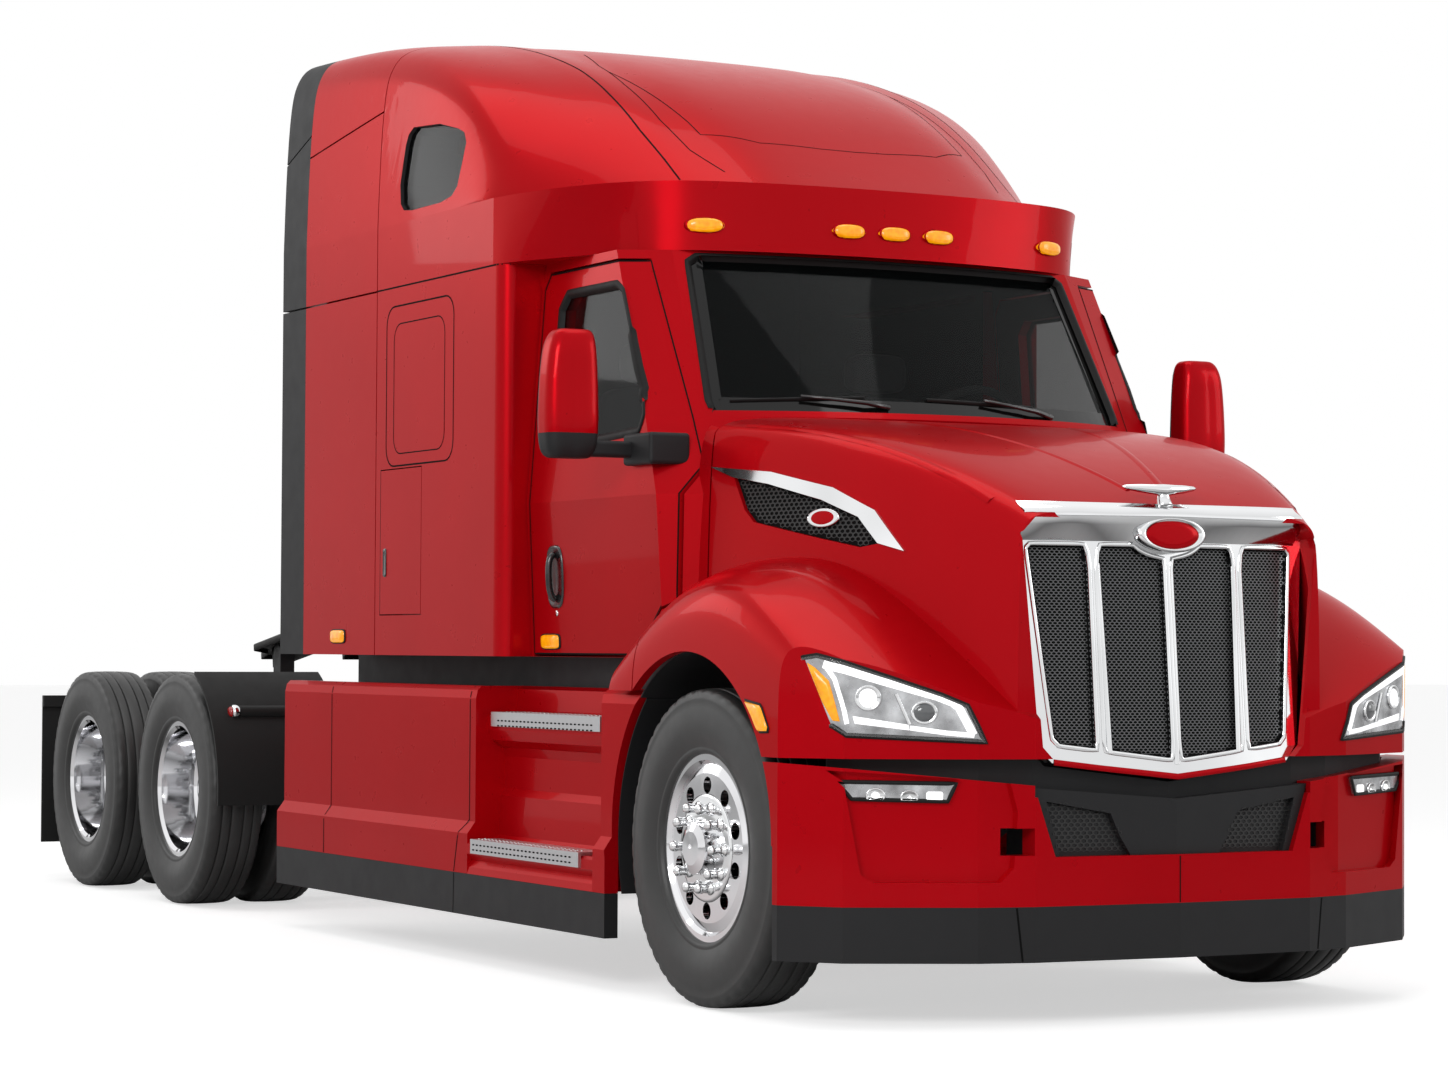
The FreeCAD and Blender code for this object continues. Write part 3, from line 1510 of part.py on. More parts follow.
def fender(inset):
    """The left fender's bulge over the wheel, closed on its inner side."""
    rear = -S.fender_rear_back
    length = S.front_reach - rear
    base = S.hood_low
    rise = S.fender_crest - base
    rows = []
    for along, crest, edge in FENDER_ROWS:
        x = rear + length * along
        top = base + rise * crest - inset
        shoulder = base + rise * edge - inset
        out = S.fender_half_width - inset
        inner = S.fender_half_width * 0.3
        row = [
            (inner, base), (inner, top), (out * 0.62, top * 1.0), (out * 0.80, top),
            (out * 0.93, (top + shoulder) * 0.5), (out, shoulder), (
                out, base + (shoulder - base) * 0.5,
            ), (out, base),
        ]
        rows.append([Vector(float(x), float(y), float(z)) for y, z in row])
    return hull_skin(rows)


def hood_form(inset):
    rear = -S.fender_rear_back
    low = S.hood_low
    side = fender(inset)
    body = nacelle(inset).fuse([side, mirrored(side)])
    return body.common(nose_prism(inset, rear, low, S.roof_height))


def ring_points(grow):
    """The grille surround seen from the front, as (y, z)."""
    top = S.grille_top
    half = S.grille_top_half_width
    low = S.grille_low
    low_half = S.grille_low_half_width
    corner = S.grille_band * 0.8
    points = [
        (0, S.grille_point), (low_half - corner, low), (low_half, low + corner), (half, top - corner),
        (half - corner, top), (-half + corner, top), (-half, top - corner), (-low_half, low + corner),
        (-low_half + corner, low),
    ]
    return grown(points, grow)


def nose_plate(depth, setback):
    """A curved plate that stands at the nose and leans back a little."""
    levels = ((S.grille_point - S.grille_band, 0), (S.grille_top + S.grille_band, S.grille_band * 1.3))
    wires = []
    for height, lean in levels:
        z = float(height)
        front = S.front_reach - setback - lean - S.panel_gap
        half = S.grille_top_half_width * 1.15
        bow = S.grille_band * 1.1
        outer = Part.Arc(
            Vector(front - bow, -half, z), Vector(float(front), 0, z), Vector(front - bow, half, z),
        ).toShape()
        rear = front - depth
        back = Part.Arc(
            Vector(rear - bow, half, z), Vector(float(rear), 0, z), Vector(rear - bow, -half, z),
        ).toShape()
        sides = [
            Part.LineSegment(Vector(front - bow, half, z), Vector(rear - bow, half, z)).toShape(),
            Part.LineSegment(Vector(rear - bow, -half, z), Vector(front - bow, -half, z)).toShape(),
        ]
        wires.append(Part.Wire([outer, sides[0], back, sides[1]]))
    return Part.makeLoft(wires, True, True)


def front_prism(points):
    return slab(points, "YZ", ZERO, S.front_reach * 2)


HEADLAMP_SHARES = (
    (0.555, 0.925), (0.60, 1.05), (0.66, 1.085), (0.932, 1.212), (0.955, 1.205), (0.905, 0.975),
    (0.88, 0.945),
)


def headlamp_outline(grow):
    points = [(S.fender_half_width * a, S.rail_top * b) for a, b in HEADLAMP_SHARES]
    return grown(points, grow)


def cowl_zone(shift):
    """Everything behind the hood's rear edge, which follows the windscreen's foot."""
    centre = S.cowl_centre_back - S.cowl_gap + shift
    corner = (-S.hood_edge_back - shift, S.cowl_half_width + S.cowl_gap)
    step = (-S.seam_back - shift, S.cowl_half_width + S.cowl_gap * 5)
    side = S.front_reach * 2
    left = [corner, step, (step[0], side), (-S.wheelbase, side)]
    right = [(x, -y) for x, y in reversed(left)]
    points = right + [(-centre, 0)] + left
    return slab(points, "XY", ZERO, S.roof_height, arcs=(len(right),))


def hood():
    """The tilting hood with its fenders, grille, lamps and arch liners."""
    wide = S.front_reach * 2
    body = hood_form(ZERO).cut(hood_form(S.hood_wall)).cut(both_sides(wheel_arch()))
    shell = body.cut(cowl_zone(ZERO))
    ahead = block((S.front_reach * 0.6, wide), (-wide, wide), (ZERO, S.roof_height))
    grille_hole = front_prism(ring_points(S.fit_gap)).common(ahead)
    lamp_zone = block((S.front_reach * 0.3, wide), (ZERO, wide), (ZERO, S.roof_height))
    lamp_hole = front_prism(headlamp_outline(S.fit_gap)).common(lamp_zone)
    open_shell = shell.cut(grille_hole).cut(both_sides(lamp_hole))
    feature("hood", largest(open_shell.cut(vent_pockets())))
    lens = shell.common(front_prism(headlamp_outline(ZERO)).common(lamp_zone))
    feature("headlamps", both_sides(largest(lens)))
    cab_room = cab_skin(-S.fit_gap, S.body_floor, S.eave_height)
    outside = block(
        (-S.wheelbase, wide), (S.cowl_half_width, wide), (S.skirt_top + S.fit_gap, S.roof_height),
    )
    panel = body.common(cowl_zone(S.panel_gap)).common(outside).cut(cab_room)
    feature("cowl_panels", both_sides(largest(panel)))
    grille()
    arch_liners()


def wheel_arch():
    """The opening over the left front wheel, straight below the arch's centre."""
    low = S.arch_inner_y
    wide = S.front_reach * 2
    round_part = arch_cylinder(S.arch_radius, low, wide, S.arch_back, S.arch_height)
    square = block((-S.skirt_foot_back, S.bumper_foot), (low, wide), (ZERO, S.arch_height))
    return round_part.fuse(square)


def ellipse_prism(half_width, half_height, depth):
    """An oval seen from the front, centred in the grille's top bar."""
    oval = Part.Ellipse(Vector(), float(half_width), float(half_height)).toShape()
    face = Part.Face(Part.Wire([oval]))
    face.rotate(Vector(), Vector(0, 0, 1), 90)
    face.rotate(Vector(), Vector(0, 1, 0), 90)
    face.translate(Vector(0, 0, float(S.boss_centre)))
    solid = face.extrude(Vector(float(depth), 0, 0))
    return solid


def inner_ring():
    """The opening inside the surround, with a deeper bar along its top."""
    brow = S.grille_top - S.grille_band * 2
    points = []
    for y, z in ring_points(-S.grille_band):
        points.append((y, z - float(S.grille_brow) if z > float(brow) else z))
    return front_prism(points)


def grille():
    """The bright surround with its boss and bars, and the mesh behind them."""
    reach = S.front_reach * 2
    around = ellipse_prism(S.boss_half_width * 1.32, S.boss_half_height * 1.5, reach)
    opening = inner_ring().cut(around)
    ring = front_prism(ring_points(ZERO)).cut(opening)
    bars = grille_bars()
    plate = nose_plate(S.grille_depth, ZERO)
    boss = ellipse_prism(S.boss_half_width, S.boss_half_height, reach)
    boss = boss.common(nose_plate(S.grille_depth, -S.panel_gap))
    feature("grille_frame", solids_of(plate.common(ring.fuse(bars)).fuse(boss)))
    screen = nose_plate(S.mesh_thickness, S.mesh_setback)
    inside_ring = inner_ring().cut(ring).cut(bars)
    mesh = screen.common(inside_ring)
    screens = [solid for solid in mesh.Solids if solid.BoundBox.YLength > float(S.grille_bar)]
    feature("grille_mesh", Part.Compound(screens))
    feature("vent_spears", vent_spears())
    feature("vent_screens", vent_screens())


SPEAR_SHARES = (
    # along and up the side vent, for the bright strip over it
    (0.0, 1.0), (0.34, 0.905), (0.66, 0.70), (0.86, 0.44), (1.0, 0.0),
    (0.885, 0.09), (0.79, 0.375), (0.61, 0.575), (0.33, 0.775), (0.13, 0.87),
)
SCREEN_VENT_SHARES = (
    # and for the dark screen under it
    (0.13, 0.865), (0.33, 0.77), (0.605, 0.57), (0.785, 0.37), (0.88, 0.085),
    (0.80, 0.05), (0.50, 0.22), (0.26, 0.36), (0.205, 0.50),
)


def vent_prism(shares, grow):
    """The left vent's outline on the hood's side, as a prism across it."""
    x = (-S.hood_edge_back * 0.96, S.front_reach * 0.53)
    z = (S.fender_crest * 1.018, S.hood_top * 0.905)
    points = [(x[0] + (x[1] - x[0]) * a, z[0] + (z[1] - z[0]) * b) for a, b in shares]
    return slab(grown(points, grow), "XZ", S.fender_half_width * 0.5, S.fender_half_width)


def hood_layer(outer, inner):
    return nacelle(outer).cut(nacelle(inner))


def vent_spears():
    strip = vent_prism(SPEAR_SHARES, ZERO).common(hood_layer(-S.vent_spear, S.vent_spear))
    return both_sides(largest(strip))


def vent_screens():
    deep = S.vent_depth
    screen = vent_prism(SCREEN_VENT_SHARES, -S.fit_gap)
    screen = screen.common(hood_layer(deep - S.vent_spear, deep - S.fit_gap))
    return both_sides(largest(screen))


def vent_pockets():
    """What the strips and screens are let into, on both sides."""
    strip = vent_prism(SPEAR_SHARES, S.fit_gap).cut(nacelle(S.vent_spear + S.fit_gap))
    screen = vent_prism(SCREEN_VENT_SHARES, ZERO).cut(nacelle(S.vent_depth))
    return both_sides(strip.fuse(screen))


def arch_liners():
    """Thin dark liners over the front wheels: the hood's own, and a fixed one behind."""
    wide = S.front_reach * 2
    outer = S.fender_half_width - S.hood_wall - S.fit_gap
    liner = arch_cylinder(S.liner_radius, S.arch_inner_y, outer, ZERO, S.tyre_radius)
    liner = liner.cut(arch_cylinder(S.liner_radius - S.liner_thickness, ZERO, wide, ZERO, S.tyre_radius))
    hood_liner = liner.common(hood_form(S.hood_wall + S.fit_gap)).cut(cowl_zone(ZERO))
    feature("arch_liners", both_sides(solids_of(hood_liner)))
    low = block(
        (-S.wheelbase, ZERO), (S.beam_drop_y, S.skirt_half_width - S.skirt_wall - S.fit_gap),
        (S.skirt_low, S.body_floor),
    )
    rear = liner.common(low).common(cowl_zone(S.panel_gap))
    feature("rear_liners", both_sides(solids_of(rear)))


def largest(shape):
    return max(shape.Solids, key=lambda solid: solid.Volume)


BAR_SHARES = (
    # out and up shares of one bar, which flares at both ends
    (1.9, 0.0), (1.2, 0.055), (1.0, 0.12), (1.0, 0.86), (1.3, 0.93), (2.4, 1.0),
)


def grille_bars():
    half = S.grille_bar * 0.5
    low = S.grille_point + S.grille_band * 0.5
    rise = S.grille_top - S.grille_band * 0.9 - low
    bars = []
    for across in (-0.5, 0.0, 0.5):
        centre = S.grille_top_half_width * across * 0.98
        right = [(centre - half * a, low + rise * b) for a, b in BAR_SHARES]
        left = [(centre + half * a, low + rise * b) for a, b in reversed(BAR_SHARES)]
        bars.append(front_prism(right + left))
    return bars[0].fuse(bars[1:])


def arch_cylinder(radius, low, high, back, height):
    centre = Vector(-float(back), float(low), float(height))
    return Part.makeCylinder(float(radius), float(high) - float(low), centre, Vector(0, 1, 0))


# Bumper, skirts and steps

def bumper_shell(inset, low, high, wall):
    rear = S.bumper_end
    outer = nose_prism(inset, rear, low, high)
    return outer.cut(nose_prism(inset + wall, -S.front_reach, low - S.overrun, high + S.overrun))


FOG_SHARES = ((0.62, 0.795), (0.64, 0.735), (0.86, 0.742), (0.895, 0.80))


def fog_outline(grow):
    points = [(S.fender_half_width * a, S.rail_top * b) for a, b in FOG_SHARES]
    return grown(points, grow)


CHEEK_SHARES = (
    (0.915, 0.835), (0.885, 0.80), (0.845, 0.50), (0.815, 0.474),
    (0.52, 0.474), (0.485, 0.52), (0.475, 0.70), (0.495, 0.80),
)


def cheek_outline():
    """The sunk panel round a fog lamp, seen from the front."""
    return [(S.fender_half_width * a, S.rail_top * b) for a, b in CHEEK_SHARES]


INSERT_WINDOW_SHARES = ((0.90, 0.93), (0.80, 0.60), (0.30, 0.60), (0.40, 0.74), (0.46, 0.86))


def insert_windows():
    """The two sunk mesh fields of the insert, seen from the front."""
    points = [
        (S.insert_half_width * a, S.bumper_centre_top * 0.32 + S.bumper_centre_top * b * 1.08)
        for a, b in INSERT_WINDOW_SHARES
    ]
    return both_sides(front_prism(points))


def insert_outline(grow):
    half = S.insert_half_width
    low = S.bumper_centre_top
    high = S.insert_top * 1.02
    points = [
        (-half, high), (-half * 0.86, low), (half * 0.86, low), (half, high), (0, S.insert_top * 0.965),
    ]
    return grown(points, grow)


def bumper():
    """The painted bumper with its dark insert, lower valance and fog lamps."""
    shell = bumper_shell(ZERO, S.bumper_low, S.bumper_top, S.bumper_wall)
    wedge = slab(
        [
            (-S.fender_half_width, S.bumper_top), (-S.insert_half_width, S.insert_top * 1.03),
            (S.insert_half_width, S.insert_top * 1.03), (S.fender_half_width, S.bumper_top),
            (0, S.roof_height),
        ],
        "YZ", ZERO, S.front_reach * 2,
    )
    hole = front_prism(insert_outline(S.fit_gap)).fuse(
        block(
            (ZERO, S.front_reach * 2), (-S.insert_half_width, S.insert_half_width),
            (S.insert_top * 0.98, S.roof_height),
        )
    )
    zone = block((S.front_reach * 0.3, S.front_reach * 2), (ZERO, S.front_reach * 2), (ZERO, S.roof_height))
    fog = front_prism(fog_outline(S.fit_gap)).common(zone)
    tow_y = (S.insert_half_width, S.insert_half_width * 1.18)
    tow = block((ZERO, S.front_reach * 2), tow_y, (S.bumper_centre_top * 1.01, S.bumper_centre_top * 1.17))
    body = shell.cut(hole).cut(wedge).cut(both_sides(fog)).cut(both_sides(tow)).cut(
        both_sides(wheel_arch())
    )
    cheek = front_prism(cheek_outline()).common(zone).cut(
        nose_prism(S.cheek_depth, -S.front_reach, ZERO, S.roof_height)
    )
    body = body.cut(both_sides(cheek))
    feature("bumper", largest(body))
    sunk = nose_prism(S.cheek_depth * 0.6, -S.front_reach, ZERO, S.roof_height)
    lens = shell.common(front_prism(fog_outline(ZERO)).common(zone)).common(sunk)
    feature("fog_lamps", both_sides(largest(lens)))
    insert = bumper_shell(
        S.bumper_wall * 0.3, S.bumper_centre_top, S.insert_top * 1.02, S.bumper_wall * 0.6,
    )
    insert = insert.common(front_prism(insert_outline(ZERO)))
    sunk_field = bumper_shell(ZERO, S.bumper_centre_top, S.insert_top * 1.02, S.bumper_wall * 0.62)
    insert = insert.cut(insert_windows().common(sunk_field))
    valance = bumper_shell(ZERO, S.valance_low, S.bumper_low - S.fit_gap, S.bumper_wall * 0.8)
    valance = valance.cut(both_sides(wheel_arch()))
    seal = bumper_shell(
        S.bumper_wall + S.fit_gap, S.insert_top * 0.93, S.hood_low + S.seal_rise, S.seal_wall,
    )
    across = S.fender_half_width * 0.88
    zone = block((ZERO, S.front_reach * 2), (-across, across), (ZERO, S.roof_height))
    seal = seal.common(zone).cut(front_prism(ring_points(S.seal_wall * 2)))
    feature("bumper_trim", Part.Compound(insert.Solids + valance.Solids + seal.Solids))


SKIRT_SHARES = (
    # out and up shares of the skirt's section, round its outer and inner faces
    (0.915, 1.0), (0.955, 1.0), (0.968, 0.985), (0.974, 0.955), (0.974, 0.510), (1.0, 0.468), (1.0, 0.324),
    (0.957, 0.324), (0.957, 0.458), (0.931, 0.500), (0.931, 0.950), (0.915, 0.950),
)
STEP_SHARES = (
    # the same for the stepped wall behind the treads
    (0.815, 1.0), (
        0.832, 0.988,
    ), (0.838, 0.912), (0.850, 0.896), (0.926, 0.896), (0.934, 0.886), (0.934, 0.842),
    (
        0.922, 0.805,
    ), (0.885, 0.778), (0.874, 0.745), (0.876, 0.630), (0.890, 0.604), (0.896, 0.462), (0.908, 0.440),
    (0.992, 0.440), (1.0, 0.430), (1.0, 0.397), (0.983, 0.372), (0.996, 0.349), (1.0, 0.324),
    (
        0.957, 0.324,
    ), (0.940, 0.365), (0.872, 0.392), (0.852, 0.455), (0.846, 0.590), (0.834, 0.614), (0.832, 0.760),
    (0.848, 0.805), (0.862, 0.842), (0.806, 0.850), (0.794, 0.905), (0.790, 1.0),
)


def skirt_section(shares):
    return [(S.skirt_half_width * a, S.skirt_top * b) for a, b in shares]


def skirts():
    """Side skirts over the tanks, with stepped walls, treads and a dark lower strip."""
    rear = -S.skirt_front_back - S.skirt_length
    front = -S.skirt_front_back
    wall = S.skirt_wall
    step_front = -S.step_front_back
    step_rear = step_front - S.step_length
    skin = slab(skirt_section(SKIRT_SHARES), "YZ", rear, step_rear)
    ahead = slab(skirt_section(SKIRT_SHARES), "YZ", step_front, front)
    stepped = slab(skirt_section(STEP_SHARES), "YZ", step_rear, step_front)
    deep = S.skirt_half_width * 0.79
    edge = [pair for pair in skirt_section(SKIRT_SHARES)[1:7]]
    edge = [(deep, S.skirt_top)] + edge + [(deep, S.skirt_low)]
    ends = [
        slab(edge, "YZ", step_rear - wall * 0.5, step_rear),
        slab(edge, "YZ", step_front, step_front + wall * 0.5),
    ]
    arms = frame_cleats(rear, S.skirt_half_width * 0.931)
    body = skin.fuse([ahead, stepped] + ends + arms).cut(wheel_arch())
    feature("skirts", both_sides(solids_of(body.removeSplitter())))
    treads = []
    tread_x = (step_rear + S.tread_inset * 0.6, step_front - S.tread_inset)
    for out, up, inner in ((0.934, 0.896, 0.855), (1.0, 0.440, 0.913)):
        face = S.skirt_half_width * out + S.fit_gap
        top = S.skirt_top * up + S.fit_gap
        section = [
            (S.skirt_half_width * inner, top), (S.skirt_half_width * inner, top + S.tread_thickness),
            (
                face + S.tread_thickness, top + S.tread_thickness,
            ), (face + S.tread_thickness, top - S.tread_lip),
            (face, top - S.tread_lip), (face, top),
        ]
        treads.append(slab(section, "YZ", tread_x[0], tread_x[1]))
    feature("step_treads", both_sides(Part.Compound(treads)))
    y = (S.skirt_half_width - wall, S.skirt_half_width)
    strip = block((rear, front), (y[0], y[1] - S.fit_gap), (S.strip_low, S.skirt_low - S.fit_gap))
    y = (S.cab_low_half_width * 0.86, S.cab_low_half_width * 0.9)
    sill = block(
        (SEAM - S.fairing_length * 0.98, -S.seam_back * 1.5), y,
        (S.body_floor - S.sill_depth, S.body_floor - S.fit_gap),
    )
    both = [both_sides(strip.cut(wheel_arch())), both_sides(sill)]
    feature("skirt_trim", solids_of(Part.Compound(both)))


def frame_cleats(rear, inner):
    """Arms that hang a skirt from the rail, clear of the tanks."""
    arms = []
    wall = S.skirt_wall
    for x in (-S.tank_front_back + wall * 3, rear + wall * 0.7):
        z = (S.rail_top - wall * 2, S.rail_top - wall)
        y = (S.rail_half_width + S.fit_gap, inner + wall * 0.5)
        arms.append(block((x - wall * 0.5, x + wall * 0.5), y, z))
    return arms


def tanks():
    made = []
    for side, sign in (("left", 1), ("right", -1)):
        start = (-S.tank_front_back - S.tank_length, S.tank_y * sign, S.tank_z)
        made.append(rod(f"tank_{side}", S.tank_radius, S.tank_length, start, "X"))
    node(fuse("tanks_fused", made), "fuel_tanks")


def guards():
    """Quarter guards ahead of the drive wheels and flaps behind them."""
    centre = Vector(float(FORWARD_DRIVE), float(S.guard_inner_y), float(S.tyre_radius))
    width = float(S.guard_outer_y - S.guard_inner_y)
    ring = Part.makeCylinder(float(S.guard_radius), width, centre, Vector(0, 1, 0))
    ring = ring.cut(
        Part.makeCylinder(float(S.guard_radius - S.guard_thickness), width, centre, Vector(0, 1, 0))
    )
    front = FORWARD_DRIVE + S.guard_radius * 0.45
    zone = block((front, ZERO), (ZERO, S.front_reach * 2), (S.tyre_radius * 0.9, S.roof_height))
    arm_z = S.rail_top - S.rail_height * 0.3
    tube = 0.5 * S.horn_width
    arm_x = FORWARD_DRIVE + S.guard_radius + tube * 0.5
    shift = S.guard_radius * math.cos(math.asin(float((arm_z - S.tyre_radius) / S.guard_radius)))
    arm_x = float(FORWARD_DRIVE) + shift
    arm = Part.makeCylinder(
        float(tube), float(S.guard_outer_y * 0.9 - S.rail_half_width),
        Vector(arm_x, float(S.rail_half_width), float(arm_z)), Vector(0, 1, 0),
    )
    quarter = ring.common(zone).fuse(arm)
    flap = block(
        (FLAP_REAR, FLAP_REAR + S.guard_thickness), (S.guard_inner_y, S.guard_outer_y),
        (S.flap_low, S.flap_top),
    )
    bar_z = (S.flap_top - S.horn_width, S.flap_top)
    bar = block(
        (FLAP_REAR + S.guard_thickness, CHASSIS_REAR), (ZERO + S.rail_half_width * 0.6, S.guard_outer_y),
        bar_z,
    )
    made = list(quarter.Solids) + list(flap.fuse(bar).Solids)
    feature("mud_guards", both_sides(Part.Compound(made)))


# Inside the cab

def inside():
    """The dashboard, steering wheel and the two seats."""
    room = cab_skin(S.body_wall + S.fit_gap, S.body_floor, S.eave_height)
    front = -S.cowl_centre_back
    back = front - S.dash_depth - S.body_wall * 3
    top = S.cowl_height + S.body_wall * 0.5
    points = [
        (front, S.dash_low), (front, top), (back + S.body_wall, top), (back, top - S.body_wall),
        (back + S.body_wall, S.dash_low),
    ]
    reach = S.cab_low_half_width * 0.86
    dash = slab(points, "XZ", -reach, reach).common(room)
    feature("dashboard", solids_of(dash))
    tilt = Vector(-0.82, 0, 0.57)
    hub = Vector(float(back - S.body_wall * 3), float(S.driver_y), float(top - S.body_wall * 0.6))
    ring = Part.makeTorus(float(S.wheel_rim_radius), float(S.wheel_tube), hub, tilt)
    column = Part.makeCylinder(float(S.wheel_tube * 1.6), float(S.wheel_rim_radius * 1.6), hub, tilt * -1)
    spoke = Part.makeBox(float(S.wheel_tube), float(S.wheel_rim_radius * 2), float(S.wheel_tube))
    spoke.translate(
        Vector(float(-S.wheel_tube * 0.5), float(-S.wheel_rim_radius), float(-S.wheel_tube * 0.5))
    )
    spoke.Placement = FreeCAD.Placement(
        hub, FreeCAD.Rotation(Vector(0, 0, 1), tilt),
    ).multiply(spoke.Placement)
    wheel = ring.fuse([column, spoke]).cut(dash)
    feature("steering_wheel", largest(wheel))
    feature("seats", both_sides(Part.Compound(seat())))


def seat():
    """A pedestal, cushion, back and head rest for the seat on the left."""
    x = -S.seat_station
    y = S.driver_y
    half = S.seat_width * 0.5
    deep = S.seat_depth
    low = S.seat_height - S.seat_back_depth
    floor = S.body_floor + S.body_wall + S.fit_gap
    pedestal = block(
        (x - deep * 0.3, x + deep * 0.3), (y - half * 0.6, y + half * 0.6), (floor, low - S.fit_gap),
    )
    cushion = block((x - deep * 0.5, x + deep * 0.5), (y - half, y + half), (low, S.seat_height))
    back_x = (x - deep * 0.5 - S.seat_back_depth, x - deep * 0.5 - S.fit_gap)
    back = block(back_x, (y - half, y + half), (low, S.seat_height + S.seat_back_height))
    rest_low = S.seat_height + S.seat_back_height + S.fit_gap
    rest = block(back_x, (y - half * 0.55, y + half * 0.55), (rest_low, rest_low + S.seat_back_depth * 1.3))
    softened = [cushion.makeFillet(float(S.wheel_tube), cushion.Edges)]
    softened.append(back.makeFillet(float(S.wheel_tube), back.Edges))
    softened.append(rest.makeFillet(float(S.wheel_tube), rest.Edges))
    return [pedestal] + softened


MIRROR_LEVELS = (
    # height, width and depth shares of the mirror's shell, and its lean inward
    (0.0, 0.66, 0.56, 0.0), (0.04, 0.88, 0.82, 0.0), (0.14, 0.98, 0.97, 0.0), (0.45, 1.0, 1.0, 0.0),
    (0.75, 0.93, 0.95, 0.01), (0.91, 0.82, 0.86, 0.03), (0.975, 0.70, 0.68, 0.05), (1.0, 0.46, 0.40, 0.06),
)


def mirror_head():
    """The mirror's rounded shell, lofted upward through soft squares."""
    width = S.mirror_outer_y - S.mirror_inner_y
    wires = []
    for up, across, deep, lean in MIRROR_LEVELS:
        z = S.mirror_low + (S.mirror_top - S.mirror_low) * up
        centre = S.mirror_inner_y + width * (0.5 - lean)
        points = []
        for step in range(16):
            turn = math.pi * step / 8
            c = math.copysign(abs(math.cos(turn)) ** 0.55, math.cos(turn))
            s = math.copysign(abs(math.sin(turn)) ** 0.55, math.sin(turn))
            x = -S.mirror_station + S.mirror_depth * deep * 0.5 * c
            y = centre + width * across * 0.5 * s
            points.append(Vector(float(x), float(y), float(z)))
        curve = Part.BSplineCurve()
        curve.interpolate(points, PeriodicFlag=True)
        wires.append(Part.Wire([curve.toShape()]))
    return Part.makeLoft(wires, True, False)


def mirrors():
    """Mirrors on arms from the doors' front corners, with painted caps."""
    head = mirror_head()
    wide = (ZERO, S.front_reach * 2)
    cap_low = S.mirror_low + (S.mirror_top - S.mirror_low) * 0.19
    split = -S.mirror_station - S.mirror_depth * 0.22
    ahead = block((split, ZERO), wide, (cap_low, S.roof_height))
    low = block((split - S.fit_gap, ZERO), wide, (cap_low - S.fit_gap, S.roof_height))
    inset = S.mirror_depth * 0.12
    glass_z = (S.mirror_low + S.mirror_arm, S.mirror_top - S.mirror_arm)
    glass_y = (S.mirror_inner_y + inset * 1.6, S.mirror_outer_y - inset * 1.6)
    recess = block(
        (-S.mirror_station - S.mirror_depth, -S.mirror_station - S.mirror_depth * 0.42), glass_y, glass_z,
    )
    arm_z = (S.mirror_low + S.mirror_arm * 0.1, S.mirror_low + S.mirror_arm * 0.95)
    arm_x = (-S.mirror_station - S.mirror_arm * 0.3, -S.mirror_station + S.mirror_arm * 0.7)
    arm = block(arm_x, (S.cab_low_half_width * 0.9, S.mirror_inner_y + S.mirror_arm), arm_z)
    foot_x = (-S.mirror_station - S.mirror_arm * 0.4, DOOR_FRONT - S.mirror_arm * 0.5)
    foot_z = (arm_z[0] - S.mirror_arm * 0.4, arm_z[1] + S.mirror_arm * 0.4)
    foot = block(foot_x, (S.cab_low_half_width * 0.9, S.cab_belt_half_width + S.mirror_arm * 0.4), foot_z)
    rounding = float(S.mirror_arm * 0.2)
    foot = foot.makeFillet(rounding, foot.Edges)
    arm = arm.makeFillet(rounding, arm.Edges)
    body = head.cut(low).cut(recess).fuse([arm, foot]).cut(
        cab_skin(-S.fit_gap, S.body_floor, S.eave_height)
    )
    body = largest(body)
    cap = largest(head.common(ahead))
    for side, shape in (("left", body), ("right", mirrored(body))):
        feature(f"mirror_{side}", shape)
    for side, shape in (("left", cap), ("right", mirrored(cap))):
        feature(f"mirror_cap_{side}", shape)


wheels()
frame()
fifth_wheel()
front_axle()
knuckle("knuckle_left", 1)
knuckle("knuckle_right", -1)
tie_rod()
drive_axles()
driveline()
cooler()
cab()
sleeper()
roof()
fairings()
hood()
bumper()
skirts()
tanks()
guards()
inside()
mirrors()

doc.recompute()

problems = []
for item in doc.Objects:
    if "Invalid" in item.State or "Error" in item.State:
        problems.append(f"{item.Name}: {item.State}")
for item in nodes:
    if item.Shape.isNull() or not item.Shape.isValid():
        problems.append(f"{item.Label}: shape is not valid")
if problems:
    raise RuntimeError("\n".join(problems))

os.makedirs("parts", exist_ok=True)
for item in nodes:
    item.Shape.exportStep(f"parts/{item.Label}.step")
print(len(nodes), "sub-parts written")
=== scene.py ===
"""A red road tractor with a high-roof sleeper cab, dressed for its portrait."""

import math

import bpy
from mathutils import Matrix, Vector
from mathutils.bvhtree import BVHTree


